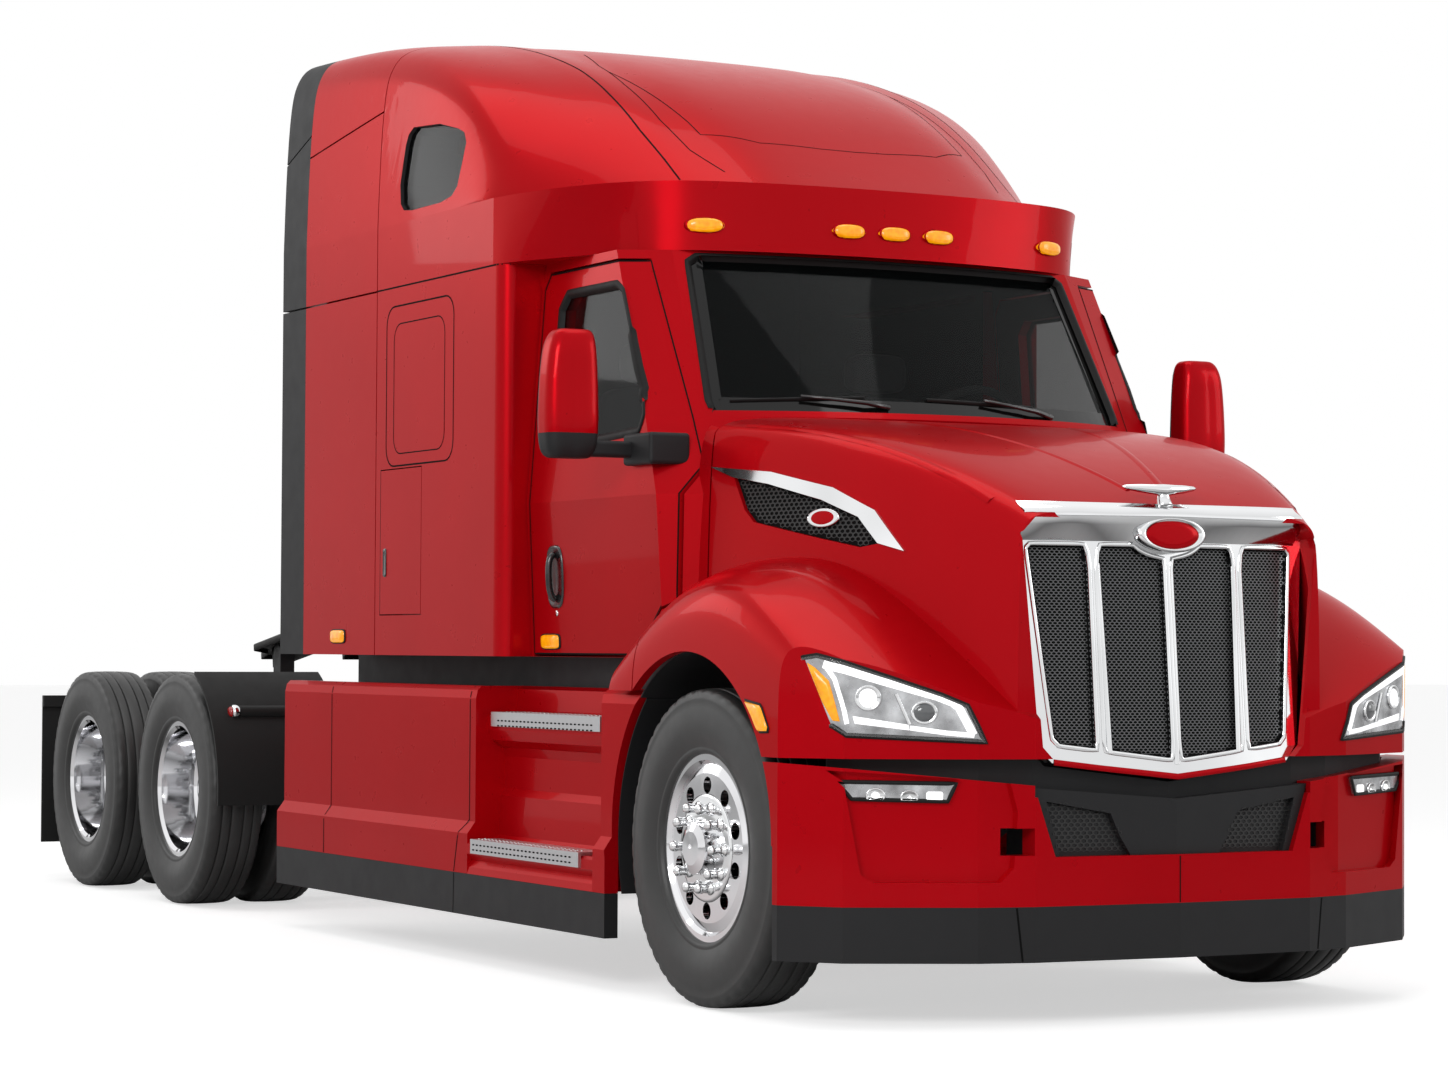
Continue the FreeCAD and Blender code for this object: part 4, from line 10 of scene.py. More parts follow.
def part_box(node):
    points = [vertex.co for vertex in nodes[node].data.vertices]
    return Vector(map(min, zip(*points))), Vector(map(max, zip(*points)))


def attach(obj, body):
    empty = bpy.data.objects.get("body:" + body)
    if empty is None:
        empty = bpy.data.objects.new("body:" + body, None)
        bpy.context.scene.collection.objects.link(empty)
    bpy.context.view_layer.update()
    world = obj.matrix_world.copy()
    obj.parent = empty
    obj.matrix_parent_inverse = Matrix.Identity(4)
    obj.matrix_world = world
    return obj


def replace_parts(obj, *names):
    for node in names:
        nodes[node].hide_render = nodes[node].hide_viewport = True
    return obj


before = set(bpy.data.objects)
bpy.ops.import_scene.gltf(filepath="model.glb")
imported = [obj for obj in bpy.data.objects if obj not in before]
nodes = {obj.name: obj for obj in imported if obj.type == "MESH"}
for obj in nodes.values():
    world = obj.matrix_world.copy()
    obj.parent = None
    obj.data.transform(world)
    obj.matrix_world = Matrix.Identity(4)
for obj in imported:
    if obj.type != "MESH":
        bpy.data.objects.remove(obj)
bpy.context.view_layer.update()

# Camera. A long lens stands low on the tractor's right, ahead of its nose,
# as in the photograph.
wheel_low, wheel_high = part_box("front_tyre_left")
FRONT_AXLE = (wheel_low.x + wheel_high.x) / 2
yaw, pitch, roll = (math.radians(angle) for angle in (152.1286, 1.6963, 0.3014))
sight = Vector((math.cos(yaw) * math.cos(pitch), math.sin(yaw) * math.cos(pitch), math.sin(pitch)))
level = sight.cross(Vector((0, 0, 1))).normalized()
upright = level.cross(sight)
across = level * math.cos(roll) + upright * math.sin(roll)
above = upright * math.cos(roll) - level * math.sin(roll)
lens = bpy.data.cameras.new("long_lens")
lens.sensor_width = 36
lens.lens = 87.89
lens.clip_end = 400
camera = bpy.data.objects.new("camera", lens)
turn = Matrix((across, above, -sight)).transposed().to_4x4()
camera.matrix_world = Matrix.Translation((FRONT_AXLE + 10.83, -6.9, 1.243)) @ turn
bpy.context.scene.collection.objects.link(camera)
bpy.context.scene.camera = camera
bpy.context.scene.view_settings.view_transform = "Standard"

# Studio. A pale floor under an even white surround, with large soft lights
# overhead and on both sides of the nose.


class Wire:
    """A shader socket, or a number, that arithmetic can be written with."""

    def __init__(self, owner, value):
        self.owner = owner
        self.value = value

    def maths(self, operation, *others):
        return self.owner.node("ShaderNodeMath", {"operation": operation}, self, *others)

    __add__ = __radd__ = lambda self, other: self.maths("ADD", other)
    __mul__ = __rmul__ = lambda self, other: self.maths("MULTIPLY", other)
    __sub__ = lambda self, other: self.maths("SUBTRACT", other)
    __rsub__ = lambda self, other: Wire(self.owner, other) - self
    __lt__ = lambda self, other: self.maths("LESS_THAN", other)
    __gt__ = lambda self, other: self.maths("GREATER_THAN", other)


def rgba(shade):
    """A colour from one grey value, or from red, green and blue."""
    if isinstance(shade, Wire):
        return shade
    return (*shade, 1) if isinstance(shade, tuple) else (shade, shade, shade, 1)


class Recipe:
    """A node tree whose nodes are all made by one call."""

    def __init__(self, tree):
        self.tree = tree

    def node(self, kind, settings, *values, output=0, **named):
        made = self.tree.nodes.new(kind)
        for setting, value in settings.items():
            if setting != "stops":
                setattr(made, setting, value)
        for index, (place, shade) in enumerate(settings.get("stops", ())):
            if index > 1:
                made.color_ramp.elements.new(place)
            made.color_ramp.elements[index].position = place
            made.color_ramp.elements[index].color = shade
        for socket, value in [*enumerate(values), *named.items()]:
            socket = socket.replace("_", " ") if isinstance(socket, str) else socket
            value = value.value if isinstance(value, Wire) else value
            if isinstance(value, bpy.types.NodeSocket):
                self.tree.links.new(value, made.inputs[socket])
            elif value is not None:
                made.inputs[socket].default_value = value
        return Wire(self, made.outputs[output])


class Finish(Recipe):
    """A material of the tractor: its slot, its constants, what varies over it."""

    def __init__(self, name, slot, shade=0.8, **constants):
        self.material = bpy.data.materials.new(name)
        self.material.use_nodes = True
        self.slot = slot
        super().__init__(self.material.node_tree)
        self.shader = self.tree.nodes["Principled BSDF"]
        for socket, value in {"Base_Color": rgba(shade), **constants}.items():
            self.shader.inputs[socket.replace("_", " ")].default_value = value

    def feed(self, socket, wire):
        self.tree.links.new(wire.value, self.shader.inputs[socket])

    def noise(self, scale, detail=3):
        place = self.node("ShaderNodeTexCoord", {}, output="Object")
        return self.node("ShaderNodeTexNoise", {}, Vector=place, Scale=scale, Detail=detail, Roughness=0.5)

    def blend(self, share, first, second):
        shades = rgba(first), rgba(second)
        return self.node("ShaderNodeMix", {"data_type": "RGBA"}, share, *[None] * 5, *shades, output=2)

    def mottle(self, scale, first, second, detail=3):
        self.feed("Base Color", self.blend(self.noise(scale, detail), first, second))

    def rough(self, scale, spread, least):
        self.feed("Roughness", self.noise(scale) * spread + least)

    def grain(self, scale, strength, detail=3, distance=0.001):
        height = self.noise(scale, detail)
        self.feed("Normal", self.node("ShaderNodeBump", {}, Strength=strength, Distance=distance, Height=height))


def mesh_of(name, points, faces, finish, smooth=True):
    mesh = bpy.data.meshes.new(name)
    mesh.from_pydata([tuple(point) for point in points], [], faces)
    mesh.validate()
    mesh.polygons.foreach_set("use_smooth", [smooth] * len(mesh.polygons))
    mesh.materials.append(finish.material)
    return mesh


def stand(name, mesh, body, place=(0, 0, 0)):
    """A mesh in the part's own frame, which rides on a body."""
    piece = bpy.data.objects.new(name, mesh)
    piece.location = place
    bpy.context.scene.collection.objects.link(piece)
    if body:
        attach(piece, body)
    return piece


def form(name, finish, body, *parts, slot=None, smooth=True):
    """One piece made from parts, each of them a list of points and of faces."""
    points, faces = [], []
    for part_points, part_faces in parts:
        start = len(points)
        points += part_points
        faces += [tuple(start + index for index in face) for face in part_faces]
    return stand(name, mesh_of(name, points, faces, finish, smooth), body)


world = bpy.data.worlds.new("studio")
world.use_nodes = True
bpy.context.scene.world = world
sky = Recipe(world.node_tree)
background = world.node_tree.nodes["Background"]
rays = [sky.node("ShaderNodeLightPath", {}, output=f"Is {kind} Ray") for kind in ("Camera", "Glossy", "Transmission")]
seen = rays[0].maths("MAXIMUM", rays[1]).maths("MAXIMUM", rays[2])
world.node_tree.links.new((seen * 0.58 + 0.42).value, background.inputs["Strength"])
background.inputs["Color"].default_value = (1, 1, 1, 1)

FLOOR_REACH = 90
pale_floor = Finish("pale_floor", None, Specular_IOR_Level=0.1, Emission_Strength=1)
pale_floor.rough(2, 0.1, 0.8)
floor_seen = pale_floor.node("ShaderNodeLightPath", {}, output="Is Camera Ray")
pale_floor.feed("Emission Color", pale_floor.blend(floor_seen, 0, 0.57))
corners = [(x * FLOOR_REACH, y * FLOOR_REACH, 0) for x, y in ((-1, -1), (1, -1), (1, 1), (-1, 1))]
form("floor", pale_floor, None, (corners, [(0, 1, 2, 3)]))

SOFT_LIGHTS = (
    # place, what it looks at, width and height, power
    ((1, -1, 9), (0, 0, 1), (10, 4), 230),
    ((9.5, -8, 5.5), (2, 0, 1.6), (5, 3), 420),
    ((8, 8.5, 5), (2, 0, 1.5), (4, 4), 150),
    ((-9, -7, 6), (-2, 0, 1.5), (4, 4), 120),
)
for index, (spot, target, size, power) in enumerate(SOFT_LIGHTS):
    lamp = bpy.data.lights.new(f"soft_light_{index}", "AREA")
    lamp.shape = "RECTANGLE"
    lamp.size, lamp.size_y = size
    lamp.energy = power
    holder = bpy.data.objects.new(f"soft_light_{index}", lamp)
    holder.location = spot
    holder.rotation_mode = "QUATERNION"
    holder.rotation_quaternion = (Vector(target) - Vector(spot)).to_track_quat("-Z", "Y")
    bpy.context.scene.collection.objects.link(holder)

# Painted panels. Steel and moulded panels of the hood, bumper, skirts and
# hatches, all sprayed one deep red under a clear coat.
REDS = (0.42, 0.0012, 0.005), (0.48, 0.002, 0.007)
CLEAR_COAT = {
    "Specular_IOR_Level": 0.05, "Coat_Roughness": 0.03, "Coat_IOR": 1.36, "Specular_Tint": (1, 0.12, 0.14, 1),
}
paint = Finish("deep_red_paint", "paint", Metallic=0.35, Coat_Weight=0.17, **CLEAR_COAT)
paint.mottle(2.2, *REDS, 2)
paint.rough(14, 0.08, 0.25)
SIDES = (("left", 1), ("right", -1))


def dress(finish, *names):
    """Gives CAD nodes a finish in place of their plain colour."""
    for name in names:
        nodes[name].data.materials.clear()
        nodes[name].data.materials.append(finish.material)


dress(paint, "cowl_panels", "side_fairings", "bumper", "skirts", "hood")
for side, _ in SIDES:
    dress(paint, f"baggage_door_{side}", f"mirror_cap_{side}")

# Lined panels. The cab, its doors, the sleeper and the roof, painted outside
# and lined with dark grey trim on the faces that look into the cabin.
CABIN_MIDDLE = (1.55, 0, 2)
lined = Finish("lined_paint", "paint", **CLEAR_COAT)
place = lined.node("ShaderNodeTexCoord", {}, output="Object")
offset = lined.node("ShaderNodeVectorMath", {"operation": "SUBTRACT"}, place, CABIN_MIDDLE)
outward = lined.node("ShaderNodeNewGeometry", {}, output="Normal")
facing = lined.node("ShaderNodeVectorMath", {"operation": "MULTIPLY"}, outward, (1, 1, 0))
inside_face = lined.node("ShaderNodeVectorMath", {"operation": "DOT_PRODUCT"}, offset, facing, output="Value") < -0.25
sprayed = lined.blend(lined.noise(2.2, 2), *REDS)
lined.feed("Base Color", lined.blend(inside_face, sprayed, (0.035, 0.035, 0.037)))
lined.feed("Metallic", inside_face * -0.35 + 0.35)
lined.feed("Coat Weight", inside_face * -0.17 + 0.17)
lined.feed("Roughness", inside_face * 0.45 + lined.noise(14) * 0.08 + 0.25)
dress(lined, "cab_shell", "sleeper_shell", "roof_cap", "door_left", "door_right")

# Chassis. Pressed rails, axles, springs and the coupling, painted black over
# rolled, forged and cast steel.
chassis_black = Finish("chassis_black", "chassis_black", (0.011, 0.011, 0.012), Specular_IOR_Level=0.3)
chassis_black.rough(25, 0.3, 0.34)
chassis_black.grain(160, 0.15)
casting = Finish("painted_casting", "cast", Specular_IOR_Level=0.3)
casting.mottle(9, (0.01, 0.01, 0.011), (0.03, 0.028, 0.027))
casting.rough(18, 0.25, 0.5)
casting.grain(120, 0.35, 6)
dress(chassis_black, "frame", "radiator")
dress(casting, "front_axle", "drive_axles", "driveline", "engine", "fifth_wheel")
dress(casting, "tie_rod", "knuckle_left", "knuckle_right")

# Dark mouldings. Grained polypropylene along the bumper and skirts, in the
# wheel arches, on the mirrors and on the sleeper's rear edges.
dark_moulding = Finish("dark_moulding", "dark_plastic", (0.013, 0.013, 0.014), Specular_IOR_Level=0.25)
dark_moulding.rough(12, 0.14, 0.5)
dark_moulding.grain(420, 0.12, 2, 0.0006)
dress(dark_moulding, "bumper_trim", "skirt_trim", "fairing_edges", "rear_liners", "arch_liners")
dress(dark_moulding, "mirror_left", "mirror_right")

# Bright parts. A chrome-plated grille surround and spears, with bands of
# painted reflection in its colour, and the brushed tank shells and step plates.
# painted reflection: the way counted as up, and the bands of painted light and shade along it
SKYWARD = (0.35, -0.3, 0.9)
PAINTED_REFLECTION_STOPS = ((0, 0.4), (0.34, 0.62), (0.44, 0.22), (0.53, 0.66), (0.66, 0.96), (0.8, 0.74), (1, 0.92))


def painted_reflection_bands(finish, tint):
    """Painted reflection: light and dark bands of a room painted into bright metal's colour, by how far it faces up.
    """
    facing = finish.node("ShaderNodeNewGeometry", {}, output="Normal")
    facing = finish.node("ShaderNodeVectorMath", {"operation": "DOT_PRODUCT"}, facing, SKYWARD, output="Value")
    stops = [(place, rgba(tuple(tone * share for share in tint))) for place, tone in PAINTED_REFLECTION_STOPS]
    height = facing * 0.5 + 0.5 + (finish.noise(2, 1) - 0.5) * 0.45
    finish.feed("Base Color", finish.node("ShaderNodeValToRGB", {"stops": stops}, height))


chrome = Finish("chrome_plate", "bright", Metallic=1)
chrome.rough(8, 0.08, 0.06)
# painted reflection: bands of light and shade painted into the chrome's colour
painted_reflection_bands(chrome, (0.98, 0.99, 1))
brushed = Finish("brushed_aluminium", "plate", (0.55, 0.55, 0.56), Metallic=1)
brushed.rough(60, 0.2, 0.28)
brushed.grain(300, 0.08)
dress(chrome, "grille_frame", "vent_spears")
dress(brushed, "fuel_tanks")

# Glass. Tinted panes, laminated in the screen and toughened elsewhere, bonded
# into the cab and sleeper or held in the doors' channels.
glass = Finish("tinted_glass", "glass", (0.004, 0.005, 0.005), Alpha=0.48, Specular_IOR_Level=0.1)
glass.rough(5, 0.03, 0.02)
dress(glass, "windshield", "sleeper_windows", "door_glass_left", "door_glass_right")

# Tyres. Moulded rubber with four circular grooves, notched shoulders and
# stepped sidewalls. All ten are one casing, turned outward.
rubber = Finish("tyre_rubber", "tread_rubber", Specular_IOR_Level=0.55)
rubber.mottle(7, 0.013, (0.026, 0.0255, 0.025))
rubber.rough(20, 0.14, 0.4)
rubber.grain(240, 0.12)

TYRE_RADIUS = (wheel_high.z - wheel_low.z) / 2
TYRE_HALF = (wheel_high.y - wheel_low.y) / 2
AXLE_HEIGHT = (wheel_high.z + wheel_low.z) / 2
# place across the tread, on a casing of this half width, and drop below its
# crown, from the middle outward
DRAWN_HALF = 0.14
TREAD = (
    (0, 0), (0.024, 0), (0.0265, 0.0015), (0.027, 0.013), (0.034, 0.013), (0.0345, 0.0015), (0.037, 0.0004),
    (0.07, 0.001), (0.0725, 0.0025), (0.073, 0.013), (0.08, 0.013), (0.0805, 0.0028), (0.083, 0.0018),
    (0.104, 0.0038), (0.115, 0.006), (0.1225, 0.011), (0.1265, 0.02), (0.13, 0.034), (0.1312, 0.04),
    (0.1304, 0.044), (0.1345, 0.066), (0.1375, 0.09), (0.139, 0.112), (0.1392, 0.13), (0.1375, 0.148),
    (0.1335, 0.168), (0.1275, 0.188), (0.1222, 0.201), (0.1208, 0.205), (0.1225, 0.209), (0.1205, 0.218),
    (0.113, 0.226), (0.105, 0.228), (0.103, 0.238),
)
# depth of the shoulder notches, by point of the tread, at every fourth turn
NOTCH = {14: 0.004, 15: 0.006, 16: 0.004}
TURNS = 192


def net(rows, columns, ring=False, loop=False):
    """Four-sided faces between rows of points. A ring closes every row, and a
    loop joins the last row to the first."""
    faces = []
    for row in range(rows if loop else rows - 1):
        here, beyond = row * columns, (row + 1) % rows * columns
        for column in range(columns if ring else columns - 1):
            ahead = (column + 1) % columns
            faces.append((here + column, here + ahead, beyond + ahead, beyond + column))
    return faces


def middle_of(name):
    low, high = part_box(name)
    return (low + high) / 2


tread = [(-out, drop) for out, drop in reversed(TREAD[1:])] + list(TREAD)
points = []
for step in range(TURNS):
    angle = 2 * math.pi * step / TURNS
    for index, (out, drop) in enumerate(tread):
        notch = NOTCH.get(abs(index - len(TREAD) + 1), 0) if step % 4 == 0 else 0
        radius = TYRE_RADIUS - drop - notch
        points.append((radius * math.sin(angle), out * TYRE_HALF / DRAWN_HALF, radius * math.cos(angle)))
casing = mesh_of("tyre_casing", points, net(TURNS, len(tread), loop=True), rubber)
for side, sign in SIDES:
    place = middle_of(f"front_tyre_{side}")
    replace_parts(stand(f"tyre_front_{side}", casing, f"front_wheel_{side}", place), f"front_tyre_{side}")
    for axle in ("forward", "rear"):
        low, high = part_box(f"{axle}_tyres_{side}")
        centre = (low + high) / 2
        for label, y in (("outer", high.y - TYRE_HALF), ("inner", low.y + TYRE_HALF)):
            label = label if sign > 0 else {"outer": "inner", "inner": "outer"}[label]
            place = (centre.x, y, centre.z)
            tyre = stand(f"tyre_{axle}_{side}_{label}", casing, f"{axle}_wheels_{side}", place)
            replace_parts(tyre, f"{axle}_tyres_{side}")

# Wheels. Forged discs polished all over, held by ten nuts under tall chrome
# covers, with a chrome cap over each front hub and painted shade in the hand holes behind, drawn as flat dark discs.
polished = Finish("polished_aluminium", "bright", Metallic=1)
polished.rough(30, 0.06, 0.05)
# painted reflection: the polished discs get the same bands of light and shade in their colour
painted_reflection_bands(polished, (0.97, 0.97, 0.99))
polished.grain(260, 0.02, 2)
# near-black for dark joints between panels, and for painted shade in holes, slots and behind the meshes
gap_and_shade_black = Finish("gap_and_shade_black", "dark_plastic", 0.004, Specular_IOR_Level=0.1)
gap_and_shade_black.rough(30, 0.1, 0.85)
dress(polished, *[name for name in nodes if "_rim" in name])


def turned(profile, steps):
    """A shape turned about the Y axis from (out, radius)."""
    angles = [2 * math.pi * step / steps for step in range(steps)]
    points = [(radius * math.sin(angle), out, radius * math.cos(angle)) for angle in angles for out, radius in profile]
    return points, net(steps, len(profile), loop=True)


def round_axle(shape, centre, sign, base=0, count=1, circle=0, phase=0):
    """Copies of a turned shape on a circle round an axle, facing outward."""
    parts = []
    for k in range(count):
        angle = 2 * math.pi * (k + phase) / count
        shift = Vector((circle * math.sin(angle), 0, circle * math.cos(angle)))
        parts.append(([Vector((x, (base + y) * sign, z)) + shift + centre for x, y, z in shape[0]], shape[1]))
    return parts


NUT_COVER = (
    (0, 0.0245), (0.005, 0.0245), (0.008, 0.0215), (0.011, 0.017), (0.028, 0.0158), (0.033, 0.017), (0.04, 0.0185),
    (0.05, 0.0183), (0.057, 0.0158), (0.0605, 0.0115), (0.062, 0.006), (0.0623, 0.0001),
)
HUB_CAP = (
    (0, 0.096), (0.004, 0.096), (0.01, 0.091), (0.03, 0.089), (0.036, 0.085), (0.038, 0.076), (0.05, 0.069),
    (0.057, 0.06), (0.0615, 0.045), (0.0635, 0.025), (0.064, 0.0001),
)
NUT_CIRCLE = 0.143
HAND_HOLE_CIRCLE = 0.222 * 0.9
FRONT_DISC, REAR_DISC = 0.1045, 0.0132
flange = turned([(0, 0.188), (0.004, 0.186), (0.0065, 0.176), (0.0065, 0.09)], 60)
cap = turned(HUB_CAP, 48)
cover = turned(NUT_COVER, 16)
short_cover = turned([(out * 0.9, radius) for out, radius in NUT_COVER], 16)
# painted shade: a flat dark disc stands in for the shade inside each hand hole
hole_shade = turned([(0.0008, 0.0245), (0.0003, 0.0001)], 20)
for side, sign in SIDES:
    face = abs(middle_of(f"front_tyre_{side}").y) + FRONT_DISC
    centre = Vector((FRONT_AXLE, face * sign, AXLE_HEIGHT))
    parts = round_axle(flange, centre, sign) + round_axle(cap, centre, sign, 0.0015)
    parts += round_axle(cover, centre, sign, 0.006, 10, NUT_CIRCLE, 0.5)
    form(f"front_hub_{side}", chrome, f"front_wheel_{side}", *parts)
for axle in ("forward", "rear"):
    for side, sign in SIDES:
        low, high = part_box(f"{axle}_rims_{side}")
        centre = Vector(((low.x + high.x) / 2, middle_of(f"{axle}_rims_{side}").y, AXLE_HEIGHT))
        parts = round_axle(short_cover, centre, sign, REAR_DISC, 10, NUT_CIRCLE, 0.5)
        form(f"{axle}_nuts_{side}", chrome, f"{axle}_wheels_{side}", *parts)
        parts = round_axle(hole_shade, centre, sign, REAR_DISC, 10, HAND_HOLE_CIRCLE)
        form(f"{axle}_hand_hole_shades_{side}", gap_and_shade_black, f"{axle}_wheels_{side}", *parts, slot="chassis_black")

# Seams. The dark gaps between fixed panels, drawn as narrow strips that lie
# on the skins and follow their curves.
FAR = 20
# the axis that each view looks along, and the side it looks from
VIEWS = {"left": (1, 1), "right": (1, -1), "front": (0, 1), "rear": (0, -1), "top": (2, 1)}
skins = {}


def skin_of(names):
    """A tree of the CAD faces of one node or more, for laying things on them."""
    key = (names,) if isinstance(names, str) else tuple(names)
    if key not in skins:
        points, faces = [], []
        for name in key:
            mesh = nodes[name].data
            start = len(points)
            points += [vertex.co.copy() for vertex in mesh.vertices]
            faces += [tuple(start + index for index in face.vertices) for face in mesh.polygons]
        skins[key] = BVHTree.FromPolygons(points, faces)
    return skins[key]


def touch(names, view, a, b):
    """Where a drawn point meets the skin, and which way the skin faces there."""
    axis, eye = VIEWS[view]
    start, towards = [a, b], Vector()
    start.insert(axis, FAR * eye)
    towards[axis] = -eye
    place, normal, _, _ = skin_of(names).ray_cast(Vector(start), towards)
    if place is None:
        return None
    if normal.dot(towards) > 0:
        normal.negate()
    return place, normal


def walk(path, step, closed=False):
    """A path's points, close enough together to follow a curved skin."""
    path = list(path) + ([path[0]] if closed else [])
    spots = []
    for (a, b), (c, d) in zip(path, path[1:]):
        count = max(1, int(math.hypot(c - a, d - b) / step))
        spots += [(a + (c - a) * k / count, b + (d - b) * k / count) for k in range(count)]
    return spots if closed else spots + [path[-1]]


def rounded(low, high, radius, steps=5):
    """A rectangle's outline with round corners, drawn in a view."""
    corners = ((high[0], high[1], 0), (low[0], high[1], 90), (low[0], low[1], 180), (high[0], low[1], 270))
    points = []
    for a, b, start in corners:
        a = a - radius if a == high[0] else a + radius
        b = b - radius if b == high[1] else b + radius
        for step in range(steps + 1):
            angle = math.radians(start + 90 * step / steps)
            points.append((a + radius * math.cos(angle), b + radius * math.sin(angle)))
    return points


def strip_on(names, view, path, width, lift=0, closed=False, step=0.02, section=((-1, 0), (1, 0))):
    """A strip of any small section along a path on the skin."""
    met = [spot for spot in (touch(names, view, a, b) for a, b in walk(path, step, closed)) if spot]
    count = len(met)
    points = []
    for index, (place, normal) in enumerate(met):
        before = met[index - 1][0] if index or closed else place
        after = met[(index + 1) % count][0] if index + 1 < count or closed else place
        aside = normal.cross((after - before).normalized()).normalized()
        points += [place + aside * (width / 2 * out) + normal * (lift + up) for out, up in section]
    return points, net(count, len(section), loop=closed)


def station(x):
    return FRONT_AXLE + x


def in_row(path, side=1):
    """A path given from the front axle, as places in the part's frame."""
    return [(station(a), b * side) for a, b in path]


SEAM_WIDTH = 0.007
SEAM_LIFT = 0.0007
seams = []


def seam(names, view, path, width=1, lift=SEAM_LIFT, closed=False):
    seams.append(strip_on(names, view, path, SEAM_WIDTH * width, lift, closed))


SLEEPER = ("sleeper_shell", "side_fairings", "roof_cap", "cab_shell")
SKIRT_JOINT = ((-1.975, 1.085), (-1.975, 0.56), (-2.01, 0.51), (-2.05, 0.355))
ROOF_FOOT = (
    (-2.95, 0.79), (-2.45, 0.775), (-2.03, 0.77), (-1.73, 0.78), (-1.46, 0.781), (-1.264, 0.77), (-1.142, 0.767),
)
ROOF_CREASE = ((-2.4, 0.575), (-2.1, 0.65), (-1.8, 0.68), (-1.47, 0.688), (-1.25, 0.67), (-1.063, 0.615))
ROOF_PANEL = [(-1.99, 0.66), (-1.4, 0.6), (-1.305, 0.595), (-1.182, 0.4), (-1.147, 0.15), (-1.14, 0)]
for side in ("left", "right"):
    # the double line of the panel over the hatch
    seam(SLEEPER, side, rounded((station(-2.88), 1.99), (station(-2.18), 2.655), 0.08), closed=True)
    seam(SLEEPER, side, rounded((station(-2.8), 2.04), (station(-2.27), 2.58), 0.07), 0.7, closed=True)
    # the roof's joint with the sleeper, and the joints of the skirts
    seam(("roof_cap", "sleeper_shell"), side, in_row([(-2.985, 2.735), (-1.72, 2.735)]))
    seam("skirts", side, in_row([(-3.45, 1.085), (-3.45, 0.355)]))
    seam("skirts", side, in_row(SKIRT_JOINT))
    seam("skirt_trim", side, in_row([(-2.05, 0.35), (-2.055, 0.19)]), 0.8)
for _, sign in SIDES:
    seam("roof_cap", "top", in_row(ROOF_FOOT, sign))
    seam("roof_cap", "top", in_row(ROOF_CREASE, sign), 0.6)
seam("roof_cap", "top", in_row(ROOF_PANEL + [(x, -y) for x, y in reversed(ROOF_PANEL[:-1])]), 0.6)
seam("bumper", "front", [(0, 0.555), (0, 0.4)], 0.7, 0.0006)
for _, sign in reversed(SIDES):
    seam("bumper_trim", "front", [(0.62 * sign, 0.395), (0.6 * sign, 0.22)], 1, 0.0006)
form("panel_seams", gap_and_shade_black, "chassis", *seams)

# Visor ends. Small painted strips that close the slit where the visor's end
# meets the dome, bent a little outward like the panels beside them.
for side, sign in SIDES:
    rows = []
    for z in (2.738, 2.77, 2.8, 2.83, 2.86, 2.885):
        ends = [touch("roof_cap", side, station(x), z) for x in (-1.152, -1.085)]
        if None not in ends:
            (back, back_way), (front, front_way) = ends
            rows += [back, (back + front) / 2 + (back_way + front_way) * 0.0008, front]
    rows = [spot + Vector((0, 0.0012 * sign, 0)) for spot in rows]
    form(f"visor_end_{side}", paint, "chassis", (rows, net(len(rows) // 3, 3)))

# Window rubber. Black seals moulded round every pane, and the printed black
# border inside the windscreen's edge.
seal_rubber = Finish("seal_rubber", "dark_plastic", 0.007, Specular_IOR_Level=0.2)
seal_rubber.rough(40, 0.15, 0.5)
seal_rubber.grain(200, 0.1)
printed_black = Finish("printed_black", "dark_plastic", 0.004, Specular_IOR_Level=0.35)
printed_black.rough(30, 0.03, 0.05)


def round_pairs(loop):
    return zip(loop, loop[1:] + loop[:1])


def outlines_of(name, facing, step=0.012, side=0):
    """The edges round the faces of a node, or of one side of it, that look one
    way, longest first. Each is a list of places and normals."""
    mesh = nodes[name].data
    facing = Vector(facing).normalized()
    where, used, normals, following = {}, {}, {}, {}
    for face in mesh.polygons:
        if face.normal.dot(facing) < 0.35 or face.center.y * side < 0:
            continue
        corners = []
        for index in face.vertices:
            place = mesh.vertices[index].co
            key = tuple(round(value, 5) for value in place)
            where[key] = place.copy()
            normals.setdefault(key, Vector((0, 0, 0)))
            normals[key] += face.normal * face.area
            corners.append(key)
        for first, second in round_pairs(corners):
            if used.pop((second, first), None) is None:
                used[(first, second)] = True
    for first, second in used:
        following.setdefault(first, []).append(second)
    loops = []
    while following:
        loop, here = [], next(iter(following))
        while here in following:
            loop.append(here)
            ahead = following[here].pop()
            if not following[here]:
                del following[here]
            here = ahead
        loops.append(loop)
    loops.sort(key=lambda loop: sum((where[a] - where[b]).length for a, b in round_pairs(loop)), reverse=True)
    edges = []
    for loop in loops[:8]:
        edge = []
        for first, second in round_pairs(loop):
            count = max(1, int((where[first] - where[second]).length / step))
            for share in (k / count for k in range(count)):
                place = where[first].lerp(where[second], share)
                if not edge or (place - edge[-1][0]).length > step * 0.4:
                    edge.append((place, normals[first].lerp(normals[second], share).normalized()))
        edges.append(edge)
    return edges


def outline_of(name, facing, step=0.012, side=0):
    return outlines_of(name, facing, step, side)[0]


def span(loop):
    """A loop's middle and its length all round."""
    middle = sum((place for place, _ in loop), Vector()) / len(loop)
    return middle, sum((a[0] - b[0]).length for a, b in round_pairs(loop))


def opening_like(name, facing, pane):
    """The edge of the opening in a node that a pane's outline fits best."""
    middle, girth = span(pane)

    def misfit(loop):
        loop_middle, loop_girth = span(loop)
        return abs(loop_girth - girth) + 4 * (loop_middle - middle).length

    return min((loop for loop in outlines_of(name, facing) if len(loop) > 20), key=misfit)


